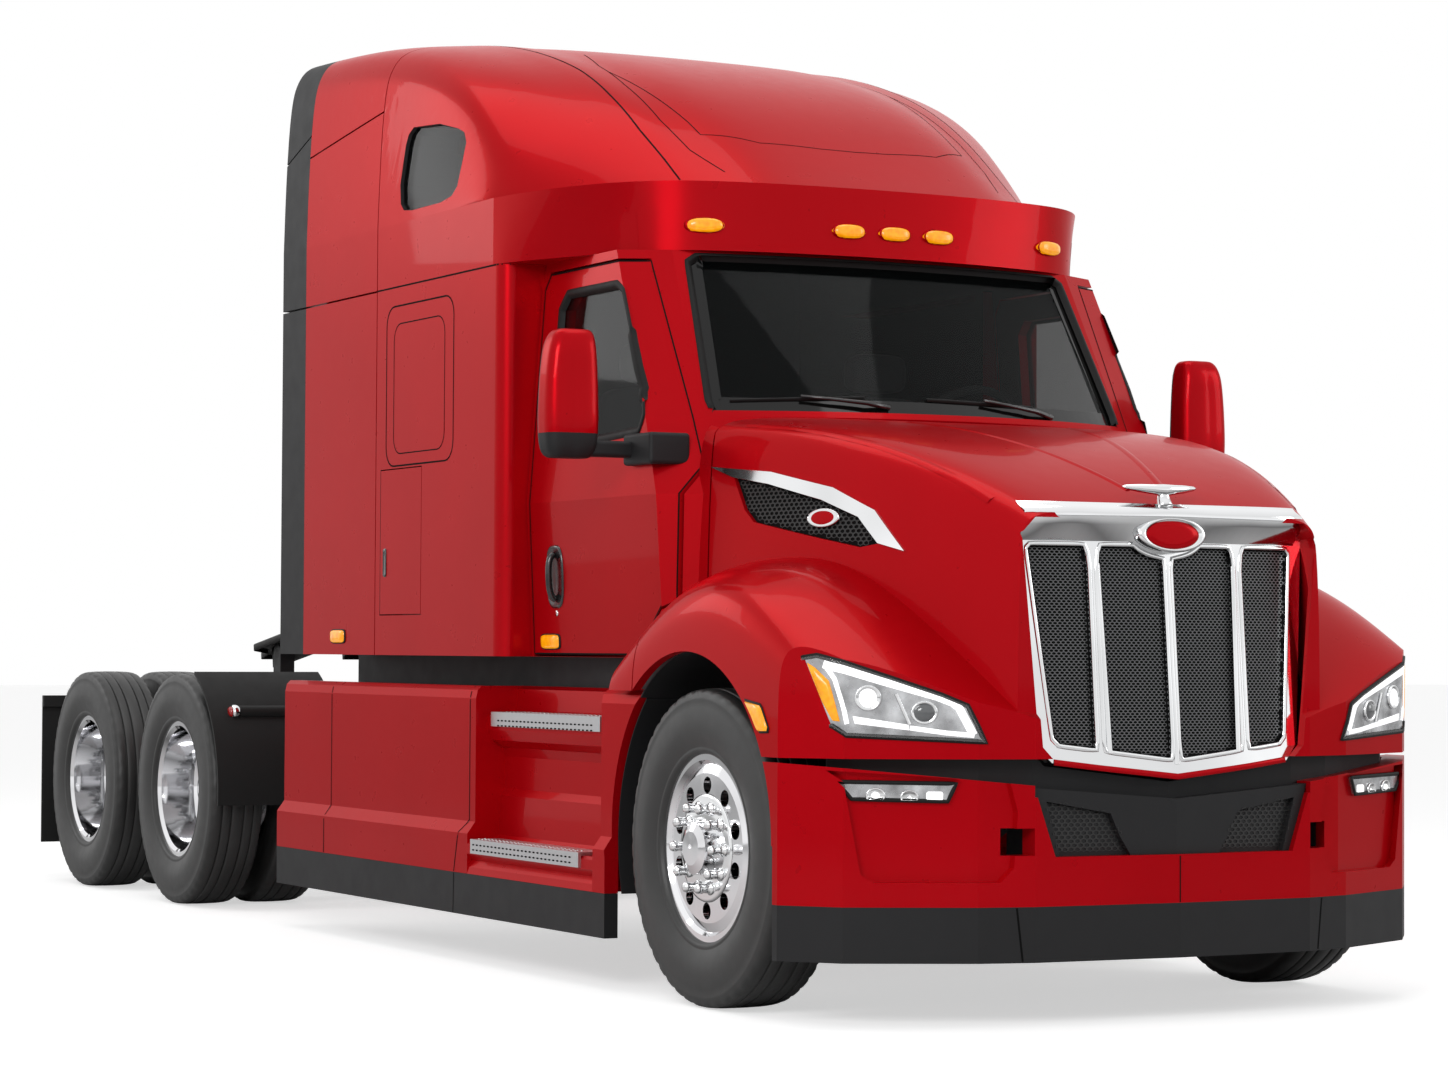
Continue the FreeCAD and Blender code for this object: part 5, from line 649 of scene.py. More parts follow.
def border_on(loop, section):
    """A moulding along a pane's edge; section gives distances inward and up."""
    middle, _ = span(loop)
    count = len(loop)
    asides = []
    for index, (place, normal) in enumerate(loop):
        along = (loop[(index + 3) % count][0] - loop[index - 3][0]).normalized()
        asides.append(normal.cross(along).normalized())
    inward = sum(aside.dot(middle - place) for aside, (place, _) in zip(asides, loop)) > 0
    points = []
    for (place, normal), aside in zip(loop, asides):
        aside = aside if inward else -aside
        points += [place + aside * into + normal * up for into, up in section]
    return points, net(count, len(section), loop=True)


DOOR_RUBBER = ((-0.024, 0.0008), (-0.022, 0.0035), (-0.003, 0.004), (0.002, 0.001), (0.012, -0.012))
SCREEN_RUBBER = ((-0.016, 0.001), (-0.013, 0.005), (0, 0.005), (0.004, 0.001), (0.014, -0.012))
SLEEPER_RUBBER = ((-0.012, 0.0008), (-0.01, 0.0035), (-0.002, 0.0035), (0.004, 0.001))
for side, sign in SIDES:
    door = f"door_{side}"
    hole = opening_like(door, (0, sign, 0), outline_of(f"door_glass_{side}", (0, sign, 0)))
    form(f"door_seal_{side}", seal_rubber, door, border_on(hole, DOOR_RUBBER))
    edge = outline_of(door, (0, sign, 0), 0.02)
    form(f"door_gap_{side}", gap_and_shade_black, door, border_on(edge, ((0, 0.0009), (0.006, 0.0009))))
    pane = outline_of("sleeper_windows", (0, sign, 0), side=sign)
    form(f"sleeper_window_seal_{side}", seal_rubber, "chassis", border_on(pane, SLEEPER_RUBBER))
screen = outline_of("windshield", (1, 0, 0.4))
hole = opening_like("cab_shell", (1, 0, 0.4), screen)
form("windscreen_seal", seal_rubber, "chassis", border_on(hole, SCREEN_RUBBER))
form("windscreen_border", printed_black, "chassis", border_on(screen, ((0, 0.0008), (0.058, 0.0008))))

# Markers and plates. Amber lenses clipped to the skins, and plain oval plates
# with chromed rims, screwed to the side vents and to the grille.
amber_lens = Finish(
    "amber_lens", "amber", (0.8, 0.26, 0.001), Coat_Weight=0.3, Coat_Roughness=0.04, Emission_Strength=0.55,
)
amber_lens.rough(30, 0.1, 0.15)
glow = amber_lens.noise(55, 1) * 1.6 - 0.35
amber_lens.feed("Emission Color", amber_lens.blend(glow, (0.7, 0.22, 0), (1, 0.56, 0.005)))
dress(amber_lens, "roof_lamps")


def capped(points, rings, count):
    """Rings of points with faces between them and one over the last ring."""
    return points, net(rings, count, ring=True) + [tuple((rings - 1) * count + k for k in range(count))]


def middle_in(outline):
    return tuple(sum(spot[axis] for spot in outline) / len(outline) for axis in (0, 1))


def boss_on(names, view, outline, profile, centre=None):
    """A raised plate or lens on a skin. The profile gives, from the rim
    inward, shares of the outline and heights over the skin."""
    middle_a, middle_b = centre or middle_in(outline)
    met = touch(names, view, middle_a, middle_b)
    points = []
    for share, height in profile:
        for a, b in outline:
            met = touch(names, view, middle_a + (a - middle_a) * share, middle_b + (b - middle_b) * share) or met
            points.append(met[0] + met[1] * height)
    return capped(points, len(profile), len(outline))


def oval(centre, wide, high, count=28, power=2):
    """An oval's outline, the squarer the higher its power."""
    points = []
    for k in range(count):
        c, s = math.cos(2 * math.pi * k / count), math.sin(2 * math.pi * k / count)
        a = centre[0] + wide * math.copysign(abs(c) ** (2 / power), c)
        points.append((a, centre[1] + high * math.copysign(abs(s) ** (2 / power), s)))
    return points


FLARE = (
    (0.402, 1.064), (0.5, 1.052), (0.512, 1.043), (0.556, 0.982), (0.552, 0.968), (0.5, 0.966), (0.487, 0.974),
    (0.447, 1.02),
)
MARKER_LENS = ((1, 0), (0.99, 0.006), (0.93, 0.011), (0.7, 0.014), (0.35, 0.015))
MARKER_BASE = ((1, 0), (1, 0.003), (0.95, 0.0045), (0.6, 0.0045))
VENTS = ("vent_screens", "hood")
VENT_RIM = ((1, 0), (1, 0.012), (0.95, 0.014), (0.86, 0.014))
VENT_FACE = ((0.86, 0.0132), (0.5, 0.015), (0.2, 0.0155))
for side, sign in SIDES:
    spots = (
        ("fender", "hood", "hood", in_row(FLARE)),
        ("door", f"door_{side}", f"door_{side}", oval((station(-1.545), 1.263), 0.078, 0.027, power=5)),
        ("sleeper", "side_fairings", "chassis", oval((station(-3.4), 1.283), 0.075, 0.027, power=5)),
    )
    for label, node, body, outline in spots:
        middle = middle_in(outline)
        rim = [(middle[0] + (a - middle[0]) * 1.12, middle[1] + (b - middle[1]) * 1.16) for a, b in outline]
        form(f"{label}_marker_base_{side}", seal_rubber, body, boss_on(node, side, rim, MARKER_BASE))
        form(f"{label}_marker_{side}", amber_lens, body, boss_on(node, side, outline, MARKER_LENS))
    plate = oval((station(0.16), 1.694), 0.08, 0.033)
    form(f"vent_plate_rim_{side}", chrome, "hood", boss_on(VENTS, side, plate, VENT_RIM))
    form(f"vent_plate_{side}", paint, "hood", boss_on(VENTS, side, plate, VENT_FACE))
ROOF_LAMP = ("roof_lamps", "roof_cap")
LAMP_LENS = ((0.9, 0.004), (0.86, 0.009), (0.6, 0.013), (0.3, 0.014))
LAMP_RIM = ((1, 0.0015), (0.985, 0.005), (0.93, 0.0065), LAMP_LENS[0])
for index, y in enumerate((-0.85, -0.22, 0, 0.22, 0.85)):
    outline = oval((y * 0.905, 2.832), 0.07, 0.029, 32, 2.6)
    form(f"roof_lamp_rim_{index}", paint, "chassis", boss_on(ROOF_LAMP, "front", outline, LAMP_RIM))
    form(f"roof_lamp_lens_{index}", amber_lens, "chassis", boss_on(ROOF_LAMP, "front", outline, LAMP_LENS))
middle = Vector((touch("grille_frame", "front", 0, 1.62)[0].x + 0.026, 0, 1.632))
rim = ((1, -0.04), (0.995, -0.004), (0.95, 0.006), (0.88, 0.011), (0.81, 0.009), (0.77, 0.002), (0.75, 0.002))
face = ((0.765, 0.003), (0.74, 0.006), (0.5, 0.008), (0.2, 0.0085))
for name, finish, profile in (("grille_plate_rim", chrome, rim), ("grille_plate", paint, face)):
    # the plate leans back a little as it rises
    points = [
        middle + Vector((height - 0.12 * dz, dy, dz))
        for share, height in profile for dy, dz in oval((0, 0), 0.14 * share, 0.062 * share, 40)
    ]
    form(name, finish, "hood", capped(points, len(profile), 40))

# Grille and vent screens. Honeycomb of plated wire mesh, clipped in behind
# the bright surround and the side vents, over near-black sheets of painted shade.
plated_mesh = Finish("plated_mesh", "dark_plastic", (0.13, 0.13, 0.135), Metallic=0.6)
plated_mesh.rough(50, 0.15, 0.32)
black_mesh = Finish("black_mesh", "dark_plastic", 0.01)
black_mesh.rough(50, 0.15, 0.4)
# painted shade: the CAD sheets behind the wire are near-black, for the shade behind the mesh
dress(gap_and_shade_black, "grille_mesh", "vent_screens")


def honeycomb(name, view, low, high, pitch, wall, lift, depth, keep=None):
    """A sheet of six-sided cells that lies over a skin."""
    points, faces = [], []
    wide, tall = pitch
    hexagon = [(math.sin(math.radians(60 * k)), math.cos(math.radians(60 * k))) for k in range(6)]
    for row in range(int((high[1] - low[1]) / (tall * 0.75)) + 1):
        for column in range(int((high[0] - low[0]) / wide) + 1):
            a = low[0] + wide * (column + 0.5 * (row % 2))
            b = low[1] + tall * 0.75 * row
            if keep and not keep(a, b):
                continue
            ring = [
                touch(name, view, a + c * wide * 0.577 * share, b + s * tall * 0.5 * share)
                for share in (1, 1 - wall) for c, s in hexagon
            ]
            if None in ring:
                continue
            places = [place + normal * lift for place, normal in ring]
            if max((place - places[0]).length for place in places) > wide * 3:
                continue
            start = len(points)
            points += places
            if depth:
                points += [place + normal * (lift - depth) for place, normal in ring[6:]]
            for k in range(6):
                after = (k + 1) % 6
                for first in (start, start + 6) if depth else (start,):
                    faces.append((first + k, first + after, first + 6 + after, first + 6 + k))
    return points, faces


low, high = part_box("grille_mesh")
cells = honeycomb("grille_mesh", "front", (low.y, low.z), (high.y, high.z), (0.0178, 0.0122), 0.24, 0.006, 0)
form("grille_wire", plated_mesh, "hood", cells, smooth=False)
BEAD = ((0, 0.0005), (-0.002, 0.004), (-0.007, 0.0058), (-0.013, 0.004), (-0.016, 0.0005))
RIDGE = ((-1, 0.0005), (-0.55, 0.006), (0, 0.0075), (0.55, 0.006), (1, 0.0005))
parts = [border_on(loop, BEAD) for loop in outlines_of("grille_frame", (1, 0, 0))[1:5]]
for y, foot in ((-0.27, 0.9), (0, 0.86), (0.27, 0.9)):
    ends = ((y * 1.03, 1.53), (y * 0.97, foot))
    parts.append(strip_on("grille_frame", "front", ends, 0.02, step=0.03, section=RIDGE))
# the brow that closes the surround over the top bar, up to the hood's nose
BROW_STEP, BROW_STEPS = 0.0355, 16
brow = []
for k in range(-BROW_STEPS, BROW_STEPS + 1):
    y = k * BROW_STEP
    foot = touch("grille_frame", "front", y * 0.985, 1.606)[0]
    nose, back = (touch("hood", "front", y, z)[0].x for z in (1.7, 1.73))
    low = 1.676 - 0.01 * abs(y)
    brow.append(foot + Vector((0.0015, 0, 0)))
    brow += [Vector((nose + out, y, low + up)) for out, up in ((-0.006, -0.012), (0.003, 0.01), (0.007, 0.032))]
    brow += [Vector((back + 0.012, y, 1.724)), Vector((back - 0.002, y, 1.736))]
form("grille_beads", chrome, "hood", *parts, (brow, net(2 * BROW_STEPS + 1, 6)))
LIP = ((-0.535, 0.878), (-0.3, 0.85), (0, 0.819), (0.3, 0.85), (0.535, 0.878))
FLAT = ((-1, 0), (-0.9, 0.003), (0.9, 0.003), (1, 0))
form("grille_lip", paint, "hood", strip_on("grille_frame", "front", LIP, 0.02, section=FLAT))
low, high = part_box("vent_screens")
for side, _ in SIDES:
    cells = honeycomb("vent_screens", side, (low.x, low.z), (high.x, high.z), (0.026, 0.019), 0.3, 0.003, 0.003)
    form(f"vent_wire_{side}", black_mesh, "hood", cells, smooth=False)
INSERT = ((0.504, 0.742), (0.448, 0.546), (0.168, 0.546), (0.224, 0.63), (0.258, 0.7))


def in_insert(a, b):
    """Whether a point of the bumper lies in either of its meshed openings."""
    met = False
    for (x1, y1), (x2, y2) in round_pairs(INSERT):
        if (y1 > b) != (y2 > b) and abs(a) < (x2 - x1) * (b - y1) / (y2 - y1) + x1:
            met = not met
    return met


cells = honeycomb("bumper_trim", "front", (-0.54, 0.5), (0.54, 0.78), (0.024, 0.018), 0.3, 0.002, 0.002, in_insert)
form("bumper_screen", black_mesh, "chassis", cells, smooth=False)

# Headlamps. Clear polycarbonate lenses with a white light guide round two
# projectors and an amber end, in a black bezel. The housing is the CAD node.
lamp_housing = Finish("lamp_housing", "lens", Metallic=0.8)
lamp_housing.rough(18, 0.25, 0.15)
clouding = lamp_housing.noise(11) * 2 - 0.5
lamp_housing.feed("Base Color", lamp_housing.blend(clouding, (0.22, 0.22, 0.225), (0.8, 0.81, 0.83)))
light_guide = Finish("light_guide", "lens", 0.9, Roughness=0.3, Emission_Strength=0.75)
light_guide.feed("Emission Color", light_guide.blend(light_guide.noise(30), (0.78, 0.8, 0.82), 1))
projector_glass = Finish("projector_glass", "lens", (0.1, 0.105, 0.11), Coat_Weight=1, Coat_Roughness=0.02)
projector_glass.rough(20, 0.05, 0.05)
clear_cover = Finish("clear_cover", "lens", 0.9, Alpha=0.1, Specular_IOR_Level=0.6)
clear_cover.rough(12, 0.02, 0.02)
dress(lamp_housing, "headlamps", "fog_lamps")

# each bright guide as (y, z) points from the front, and its width
GUIDES = (
    (((1.194, 1.191), (1.182, 1.185), (1.042, 1.139), (0.873, 1.087), (0.828, 1.068), (0.808, 1.052),
      (0.764, 0.962)), 0.027),
    (((0.762, 0.96), (0.846, 0.968), (0.953, 0.984)), 0.016),
    (((1.19, 1.185), (1.169, 1.142), (1.152, 1.064), (1.139, 0.996)), 0.016),
)
AMBER_END = (
    (1.232, 1.196), (1.214, 1.18), (1.182, 1.136), (1.168, 1.064), (1.157, 1.004), (1.173, 1.006), (1.198, 1.04),
    (1.216, 1.102),
)
LOW_BAR = ((1.122, 1.022), (0.955, 0.994), (0.955, 0.976), (1.116, 0.997))
DIVIDER = ((0.994, 1.095), (0.953, 0.995))
OUTER_EYE, INNER_EYE = (1.077, 1.081), (0.91, 1.034)
GUIDE_SECTION = ((-1, 0), (-0.8, 0.0035), (0.8, 0.0035), (1, 0))
BEZEL = ((-0.004, 0.0008), (-0.002, 0.0075), (0.009, 0.0075), (0.013, 0.003))
EYE_RING = ((1, 0.001), (1, 0.007), (0.9, 0.009), (0.8, 0.004))


def mirrored(path, sign):
    return [(y * sign, z) for y, z in path]


def lamp_strip(path, sign, width, lift, step):
    return strip_on("headlamps", "front", mirrored(path, sign), width, lift, False, step, GUIDE_SECTION)


def eye(spot, sign, wide, high, profile):
    return boss_on("headlamps", "front", oval((spot[0] * sign, spot[1]), wide, high), profile)


for side, sign in SIDES:
    edge = outline_of("headlamps", (1, sign * 0.5, 0.1), side=sign)
    form(f"headlamp_bezel_{side}", seal_rubber, "hood", border_on(edge, BEZEL))
    form(f"headlamp_cover_{side}", clear_cover, "hood", border_on(edge, ((0, 0.007), (0.012, 0.0085))))
    parts = [lamp_strip(path, sign, width, 0.002, 0.008) for path, width in GUIDES]
    low_bar, amber_end = (
        boss_on("headlamps", "front", mirrored(outline, sign), profile)
        for outline, profile in (
            (LOW_BAR, ((1, 0.001), (0.94, 0.005), (0.5, 0.006))),
            (AMBER_END, ((1, 0.001), (0.95, 0.006), (0.5, 0.007))),
        )
    )
    bulb = eye(OUTER_EYE, sign, 0.026, 0.03, ((1, 0.004), (0.85, 0.009), (0.4, 0.011)))
    form(f"light_guide_{side}", light_guide, "hood", *parts, low_bar, bulb)
    form(f"turn_lens_{side}", amber_lens, "hood", amber_end)
    rings = [eye(INNER_EYE, sign, 0.04, 0.038, EYE_RING), eye(OUTER_EYE, sign, 0.04, 0.042, EYE_RING)]
    form(f"projector_ring_{side}", chrome, "hood", *rings, lamp_strip(DIVIDER, sign, 0.012, 0.003, 0.01))
    dome = eye(INNER_EYE, sign, 0.031, 0.029, ((1, 0.004), (0.85, 0.01), (0.5, 0.014), (0.2, 0.015)))
    form(f"projector_{side}", projector_glass, "hood", dome)

# Steps. Pressed aluminium treads with raised buttons for grip, and a row of
# slots along each lip, drawn as flat dark ovals of painted shade. The plates are the CAD node.
dress(brushed, "step_treads")
BUTTON = 0.0065
STEPS = (
    # from and to along the row, inner and outer edge, height of the lip
    (-1.81, -0.94, 1.125, 1.19, 0.944),
    (-1.85, -0.94, 1.238, 1.29, 0.46),
)
for side, sign in SIDES:
    buttons, slot_shades = [], []
    for x0, x1, y0, y1, lip in STEPS:
        count, rows = int((x1 - x0) / 0.034), round((y1 - y0) / 0.021)
        for column in range(count):
            x = station(x0 + (x1 - x0) * (column + 0.5) / count)
            for row in range(rows):
                outline = oval((x, (y0 + (y1 - y0) * (row + 0.5) / rows) * sign), BUTTON, BUTTON, 8)
                buttons.append(boss_on("step_treads", "top", outline, ((1, 0), (0.7, 0.003))))
            for lift in (-0.01, 0.01):
                outline = oval((x, lip + lift), 0.011, 0.0035, 8)
                # painted shade: each slot is a flat dark oval laid on the lip
                slot_shades.append(boss_on("step_treads", side, outline, ((1, 0.0007), (0.5, 0.0007))))
    form(f"tread_buttons_{side}", brushed, "chassis", *buttons)
    form(f"tread_slots_{side}", gap_and_shade_black, "chassis", *slot_shades)

# Handles. Black moulded pulls set in cups on the doors, with a chromed lock
# below, and a paddle latch on each baggage hatch.
gloss_black = Finish("gloss_black", "dark_plastic", (0.008, 0.008, 0.009), Coat_Weight=0.5, Coat_Roughness=0.05)
gloss_black.rough(20, 0.1, 0.22)


def tube(path, radius, steps=10):
    """A round bar along a path of points, with one radius or one a point."""
    path = [Vector(point) for point in path]
    radii = radius if isinstance(radius, list) else [radius] * len(path)
    run = path[-1] - path[0]
    guide = Vector((0.9, 0.4, 0.1)) if abs(run.z) > 0.7 * run.length else Vector((0.31, 0.17, 0.93))
    points = []
    for before, place, after, thick in zip(path[:1] + path, path, path[1:] + path[-1:], radii):
        along = (after - before).normalized()
        first = along.cross(guide).normalized()
        second = along.cross(first)
        for angle in (2 * math.pi * step / steps for step in range(steps)):
            points.append(place + (first * math.cos(angle) + second * math.sin(angle)) * thick)
    ends = [tuple(reversed(range(steps))), tuple(range(len(points) - steps, len(points)))]
    return points, net(len(path), steps, ring=True) + ends


def bend(path, count=4):
    """Points of a smooth curve through the corners of a path."""
    path = [Vector(point) for point in path]
    ends = [path[0] * 2 - path[1]] + path + [path[-1] * 2 - path[-2]]
    spots = []
    for a, b, c, d in zip(ends, ends[1:], ends[2:], ends[3:]):
        for t in (k / count for k in range(count)):
            square, cube = (2 * a - 5 * b + 4 * c - d) * t * t, (3 * b - a - 3 * c + d) * t ** 3
            spots.append(0.5 * (2 * b + (c - a) * t + square + cube))
    return spots + [path[-1]]


PULL = ((1.425, 0.004), (1.44, 0.02), (1.47, 0.028), (1.512, 0.03), (1.555, 0.028), (1.585, 0.02), (1.6, 0.004))
CUP = ((1, 0), (0.99, 0.005), (0.93, 0.0065), (0.86, 0.0035), (0.5, 0.0012), (0.2, 0.001))
HANDLE = station(-1.485)
for side, sign in SIDES:
    door, hatch = f"door_{side}", f"baggage_door_{side}"
    cup = boss_on(door, side, oval((HANDLE, 1.512), 0.072, 0.122, 32, 3.2), CUP)
    form(f"handle_cup_{side}", gloss_black, door, cup)
    met = [(touch(door, side, HANDLE, z), out) for z, out in PULL]
    pull = tube(bend([place + normal * out for (place, normal), out in met]), 0.013)
    form(f"handle_pull_{side}", gloss_black, door, pull)
    lock = boss_on(door, side, oval((HANDLE, 1.372), 0.012, 0.012, 16), ((1, 0), (0.95, 0.003), (0.4, 0.003)))
    form(f"door_lock_{side}", chrome, door, lock)
    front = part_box(hatch)[0].x
    latch = rounded((front + 0.035, 1.53), (front + 0.065, 1.65), 0.012)
    latch = boss_on(hatch, side, latch, ((1, 0), (0.97, 0.004), (0.8, 0.002), (0.4, 0.001)))
    form(f"hatch_latch_{side}", gloss_black, hatch, latch)

# Wipers. Sprung steel arms on two pivots at the screen's foot, each with a
# rubber blade that lies along the glass.
BLADES = (
    # side of the cab, blade ends and the arm's pivot, as (y, z) from the front
    ("right", (-0.815, 2.15), (-0.33, 2.168), (-0.25, 2.128)),
    ("left", (-0.08, 2.168), (0.41, 2.158), (0.49, 2.12)),
)
BLADE_SECTION = ((-1, 0), (-0.5, 0.01), (0.5, 0.01), (1, 0))
ARM = ((0, 0.012), (0.12, 0.009), (0.3, 0.007), (0.45, 0.006))
ARM_END = 0.45
for side, first, last, pivot in BLADES:
    blade = strip_on("windshield", "front", (first, last), 0.012, 0.001, False, 0.03, BLADE_SECTION)
    form(f"wiper_blade_{side}", seal_rubber, "chassis", blade)
    spots, radii = [], []
    for share, radius in ARM:
        a, b = (pivot[k] + ((first[k] + last[k]) / 2 - pivot[k]) * share / ARM_END for k in (0, 1))
        met = touch(("windshield", "cab_shell", "cowl_panels", "hood"), "front", a, b)
        if met:
            spots.append(met[0] + met[1] * (0.022 if share else 0.01))
            radii.append(radius)
    form(f"wiper_arm_{side}", gloss_black, "chassis", tube(spots, radii, 8))

# Mirror glass. Flat and wide-angle glasses, silvered behind, held in the
# rear of each mirror head.
mirror_glass = Finish("mirror_glass", "bright", (0.72, 0.74, 0.75), Metallic=1)
mirror_glass.rough(6, 0.01, 0.015)
for side, sign in SIDES:
    for label, base, top in (("flat", 2.115, 2.362), ("wide", 2, 2.095)):
        edge = mirrored(rounded((1.312, base), (1.468, top), 0.02), sign)
        pane = boss_on(f"mirror_{side}", "rear", edge, ((1, 0.001), (0.97, 0.003), (0.5, 0.0034)))
        form(f"mirror_{label}_{side}", mirror_glass, f"door_{side}", pane)

# Fog lamps. Two round reflectors and a bright bar side by side, in a black
# bezel sunk into the bumper. The housing is the CAD node.
FOG_BEZEL = ((-0.006, 0.001), (-0.004, 0.006), (0.005, 0.006), (0.008, 0.002))
FOG_RING = ((1, 0.001), (1, 0.006), (0.88, 0.008), (0.75, 0.002), (0.3, 0.001))
for side, sign in SIDES:
    edge = outline_of("fog_lamps", (1, sign * 0.3, 0), side=sign)
    form(f"fog_bezel_{side}", seal_rubber, "chassis", border_on(edge, FOG_BEZEL))
    eyes = [oval((y * sign, z), size * 1.15, size) for y, z, size in ((1.045, 0.762, 0.026), (0.945, 0.757, 0.024))]
    form(f"fog_reflector_{side}", chrome, "chassis", *[boss_on("fog_lamps", "front", edge, FOG_RING) for edge in eyes])
    bulb = oval((1.045 * sign, 0.762), 0.012, 0.011)
    bulb = boss_on("fog_lamps", "front", bulb, ((1, 0.004), (0.6, 0.01), (0.2, 0.012)))
    inner, outer = sorted((0.845 * sign, 0.895 * sign))
    bar = rounded((inner, 0.742), (outer, 0.776), 0.008)
    bar = boss_on("fog_lamps", "front", bar, ((1, 0.001), (0.9, 0.004), (0.4, 0.005)))
    form(f"fog_glow_{side}", light_guide, "chassis", bulb, bar)

# Ornament. A plain bar on a short stem, cast and chromed, bolted to the
# hood's nose.
crown = touch("hood", "top", station(0.955), 0)[0]
stem = [crown + Vector(spot) for spot in ((0.012, 0, -0.012), (0.004, 0, 0.01), (0.004, 0, 0.03), (0.01, 0, 0.046))]
WING = (
    # share of the half span, radius
    (-1, 0.003), (-0.92, 0.008), (-0.6, 0.014), (-0.3, 0.017), (0, 0.021), (0.3, 0.017), (0.6, 0.014), (0.92, 0.008),
    (1, 0.003),
)
wing = [crown + Vector((0.01 - abs(y) * 0.03, y * 0.15, 0.046 + abs(y) * 0.01)) for y, _ in WING]
stem = tube(bend(stem), [0.03 - 0.0011 * k for k in range(13)], 16)
form("hood_ornament", chrome, "hood", stem, tube(wing, [radius for _, radius in WING], 16))

# Seats. Sprung chairs with fabric cushions, bolsters and head rests, over
# folding bellows. The soft CAD blocks are replaced by crowned cushions.
fabric = Finish("seat_fabric", "upholstery", Specular_IOR_Level=0.15, Sheen_Weight=0.3)
fabric.mottle(120, (0.11, 0.11, 0.115), (0.17, 0.17, 0.175))
fabric.rough(200, 0.1, 0.85)
fabric.grain(700, 0.3)


def islands(name):
    """The boxes round each separate solid of a node."""
    mesh = nodes[name].data
    key_of, parent, boxes = {}, {}, {}

    def find(key):
        while parent[key] != key:
            parent[key] = parent[parent[key]]
            key = parent[key]
        return key

    for vertex in mesh.vertices:
        key = tuple(round(value, 4) for value in vertex.co)
        key_of[vertex.index] = key
        parent.setdefault(key, key)
    for face in mesh.polygons:
        keys = [find(key_of[index]) for index in face.vertices]
        for key in keys[1:]:
            parent[find(key)] = find(keys[0])
    for key in parent:
        boxes.setdefault(find(key), []).append(key)
    return [(Vector(map(min, zip(*keys))), Vector(map(max, zip(*keys)))) for keys in boxes.values()]


def cushion(low, high, power, pinch=0.05, grid=14):
    """A crowned closed form that fills a box, drawn in between its corners."""
    middle, half = (low + high) / 2, (high - low) / 2
    points, faces, seen = [], [], {}

    def corner(cube):
        key = tuple(round(value, 4) for value in cube)
        if key not in seen:
            size = sum(abs(value) ** power for value in cube) ** (1 / power)
            spot = [value / size for value in cube]
            waist = [1 - pinch * (1 - abs(spot[(axis + 1) % 3]) ** 2) * abs(spot[axis]) ** 6 for axis in range(3)]
            seen[key] = len(points)
            points.append(middle + Vector([spot[axis] * half[axis] * waist[axis] for axis in range(3)]))
        return seen[key]

    for axis in range(3):
        for face_sign in (-1, 1):
            for i in range(grid):
                for j in range(grid):
                    quad = []
                    for di, dj in ((0, 0), (1, 0), (1, 1), (0, 1)):
                        cube = [face_sign, -1 + 2 * (i + di) / grid, -1 + 2 * (j + dj) / grid]
                        quad.append(corner(cube[-axis:] + cube[:-axis] if axis else cube))
                    faces.append(tuple(quad if face_sign > 0 else reversed(quad)))
    return points, faces


FOLDS = 12
LEVELS = ("bellows", "seat_cushion", "back_cushion", "head_rest")
for index, (low, high) in enumerate(sorted(islands("seats"), key=lambda box: (box[0].y > 0, box[0].z))):
    side = "left" if low.y + high.y > 0 else "right"
    part = LEVELS[index % 4]
    if part == "bellows":
        middle = (low + high) / 2
        outline = rounded((low.x, low.y), (high.x, high.y), 0.05)
        points = []
        for fold in range(FOLDS + 1):
            grow, z = 1 if fold % 2 else 0.86, low.z + (high.z - low.z) * fold / FOLDS
            for x, y in outline:
                points.append(Vector((middle.x + (x - middle.x) * grow, middle.y + (y - middle.y) * grow, z)))
        parts = points, net(FOLDS + 1, len(outline), ring=True)
        piece = form(f"{part}_{side}", dark_moulding, "chassis", parts, slot="cabin")
    else:
        piece = form(f"{part}_{side}", fabric, "chassis", cushion(low, high, 3.5 if part == "head_rest" else 5))
    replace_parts(piece, "seats")

# Cabin. A grained dashboard moulded in dark grey, and a steering wheel with
# a grained rim, bolted up inside the cab.
cabin_plastic = Finish("cabin_plastic", "cabin", (0.07, 0.07, 0.073), Specular_IOR_Level=0.2)
cabin_plastic.rough(40, 0.15, 0.6)
cabin_plastic.grain(500, 0.15, 2)
dress(cabin_plastic, "dashboard", "steering_wheel")

# Mud guards. Folded quarter fenders and rubber flaps on tube hangers, all
# a dull black.
flap_rubber = Finish("flap_rubber", "tread_rubber", 0.012, Specular_IOR_Level=0.25)
flap_rubber.rough(15, 0.2, 0.5)
flap_rubber.grain(90, 0.2)
dress(flap_rubber, "mud_guards")

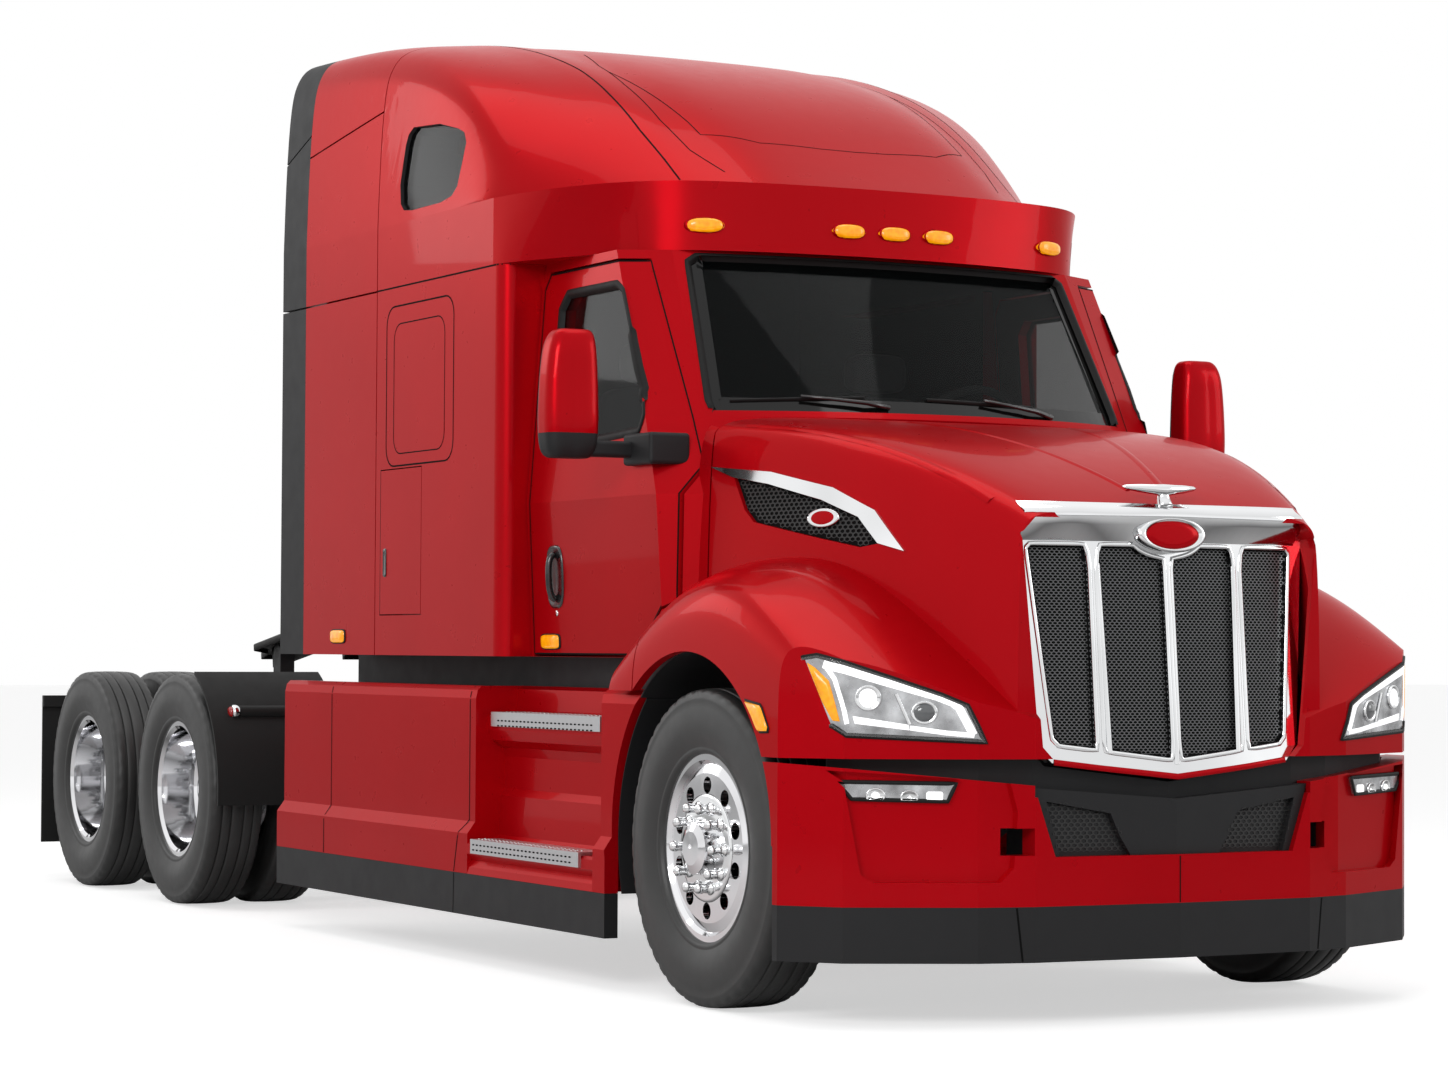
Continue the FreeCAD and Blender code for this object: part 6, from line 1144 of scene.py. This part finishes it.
# Tail lamps. Round red lenses in rubber rings, and a blank number plate, on
# the closing member of the frame.
red_lens = Finish("red_lens", "lens", (0.42, 0.006, 0.006), Coat_Weight=0.8, Coat_Roughness=0.04)
red_lens.rough(30, 0.1, 0.15)
white_sheet = Finish("white_sheet", "plate", (0.72, 0.72, 0.7))
white_sheet.rough(30, 0.1, 0.35)
TAIL_RING = ((1.22, 0), (1.22, 0.008), (1.12, 0.011), (1, 0.011), (0.98, 0.004))
TAIL_LENS = ((0.98, 0.004), (0.96, 0.012), (0.7, 0.016), (0.3, 0.018))
for index, y in enumerate((-0.36, -0.25, 0.25, 0.36)):
    spot = (y, 0.885)
    for name, finish, profile in (("tail_lamp_ring", seal_rubber, TAIL_RING), ("tail_lamp", red_lens, TAIL_LENS)):
        lens = boss_on("frame", "rear", oval(spot, 0.046, 0.046), profile, spot)
        form(f"{name}_{index}", finish, "chassis", lens)
blank = rounded((-0.15, 0.85), (0.15, 0.925), 0.012)
plate = boss_on("frame", "rear", blank, ((1, 0), (1, 0.006), (0.99, 0.0068), (0.5, 0.0068)))
form("number_plate", white_sheet, "chassis", plate)

# Coupling rim. The turned-down edge of the cast plate, which stiffens it all
# round and leads the trailer's pin in.
edge = outline_of("fifth_wheel", (0, 0, 1))
SKIRT = ((0.01, 0.0015), (0, 0.0015), (-0.004, -0.003), (-0.004, -0.034), (0, -0.036))
form("coupling_rim", casting, "fifth_wheel", border_on(edge, SKIRT))

# Hood creases. Soft beads pressed into the hood's skin, which run from the
# screen's foot to the nose.
CREASES = (((-0.14, 0.345), (0.3, 0.235), (0.86, 0.075)), ((-0.36, 0.885), (0.2, 0.78), (0.86, 0.625)))
SWELL = ((-1, 0), (-0.5, 0.0022), (0, 0.0042), (0.5, 0.0022), (1, 0))
paths = [in_row(line, sign) for _, sign in SIDES for line in CREASES]
form("hood_creases", paint, "hood", *[strip_on("hood", "top", path, 0.034, 0, False, 0.03, SWELL) for path in paths])

# Fender stays. Steel tubes from the frame carry the quarter fenders, and each
# ends outside in a chrome collar with a small red lamp.
COLLAR = ((-0.012, 0.031), (0, 0.034), (0.006, 0.035), (0.02, 0.034), (0.024, 0.028))
TIP = ((0.022, 0.027), (0.03, 0.026), (0.038, 0.02), (0.041, 0.01))
for side, sign in SIDES:
    end = Vector((station(-4.923), 1.156 * sign, 0.929))
    for name, finish, profile in (("stay_collar", chrome, COLLAR), ("stay_lamp", red_lens, TIP)):
        path = [end + Vector((0, out * sign, 0)) for out, _ in profile]
        form(f"{name}_{side}", finish, "chassis", tube(path, [radius for _, radius in profile], 20))
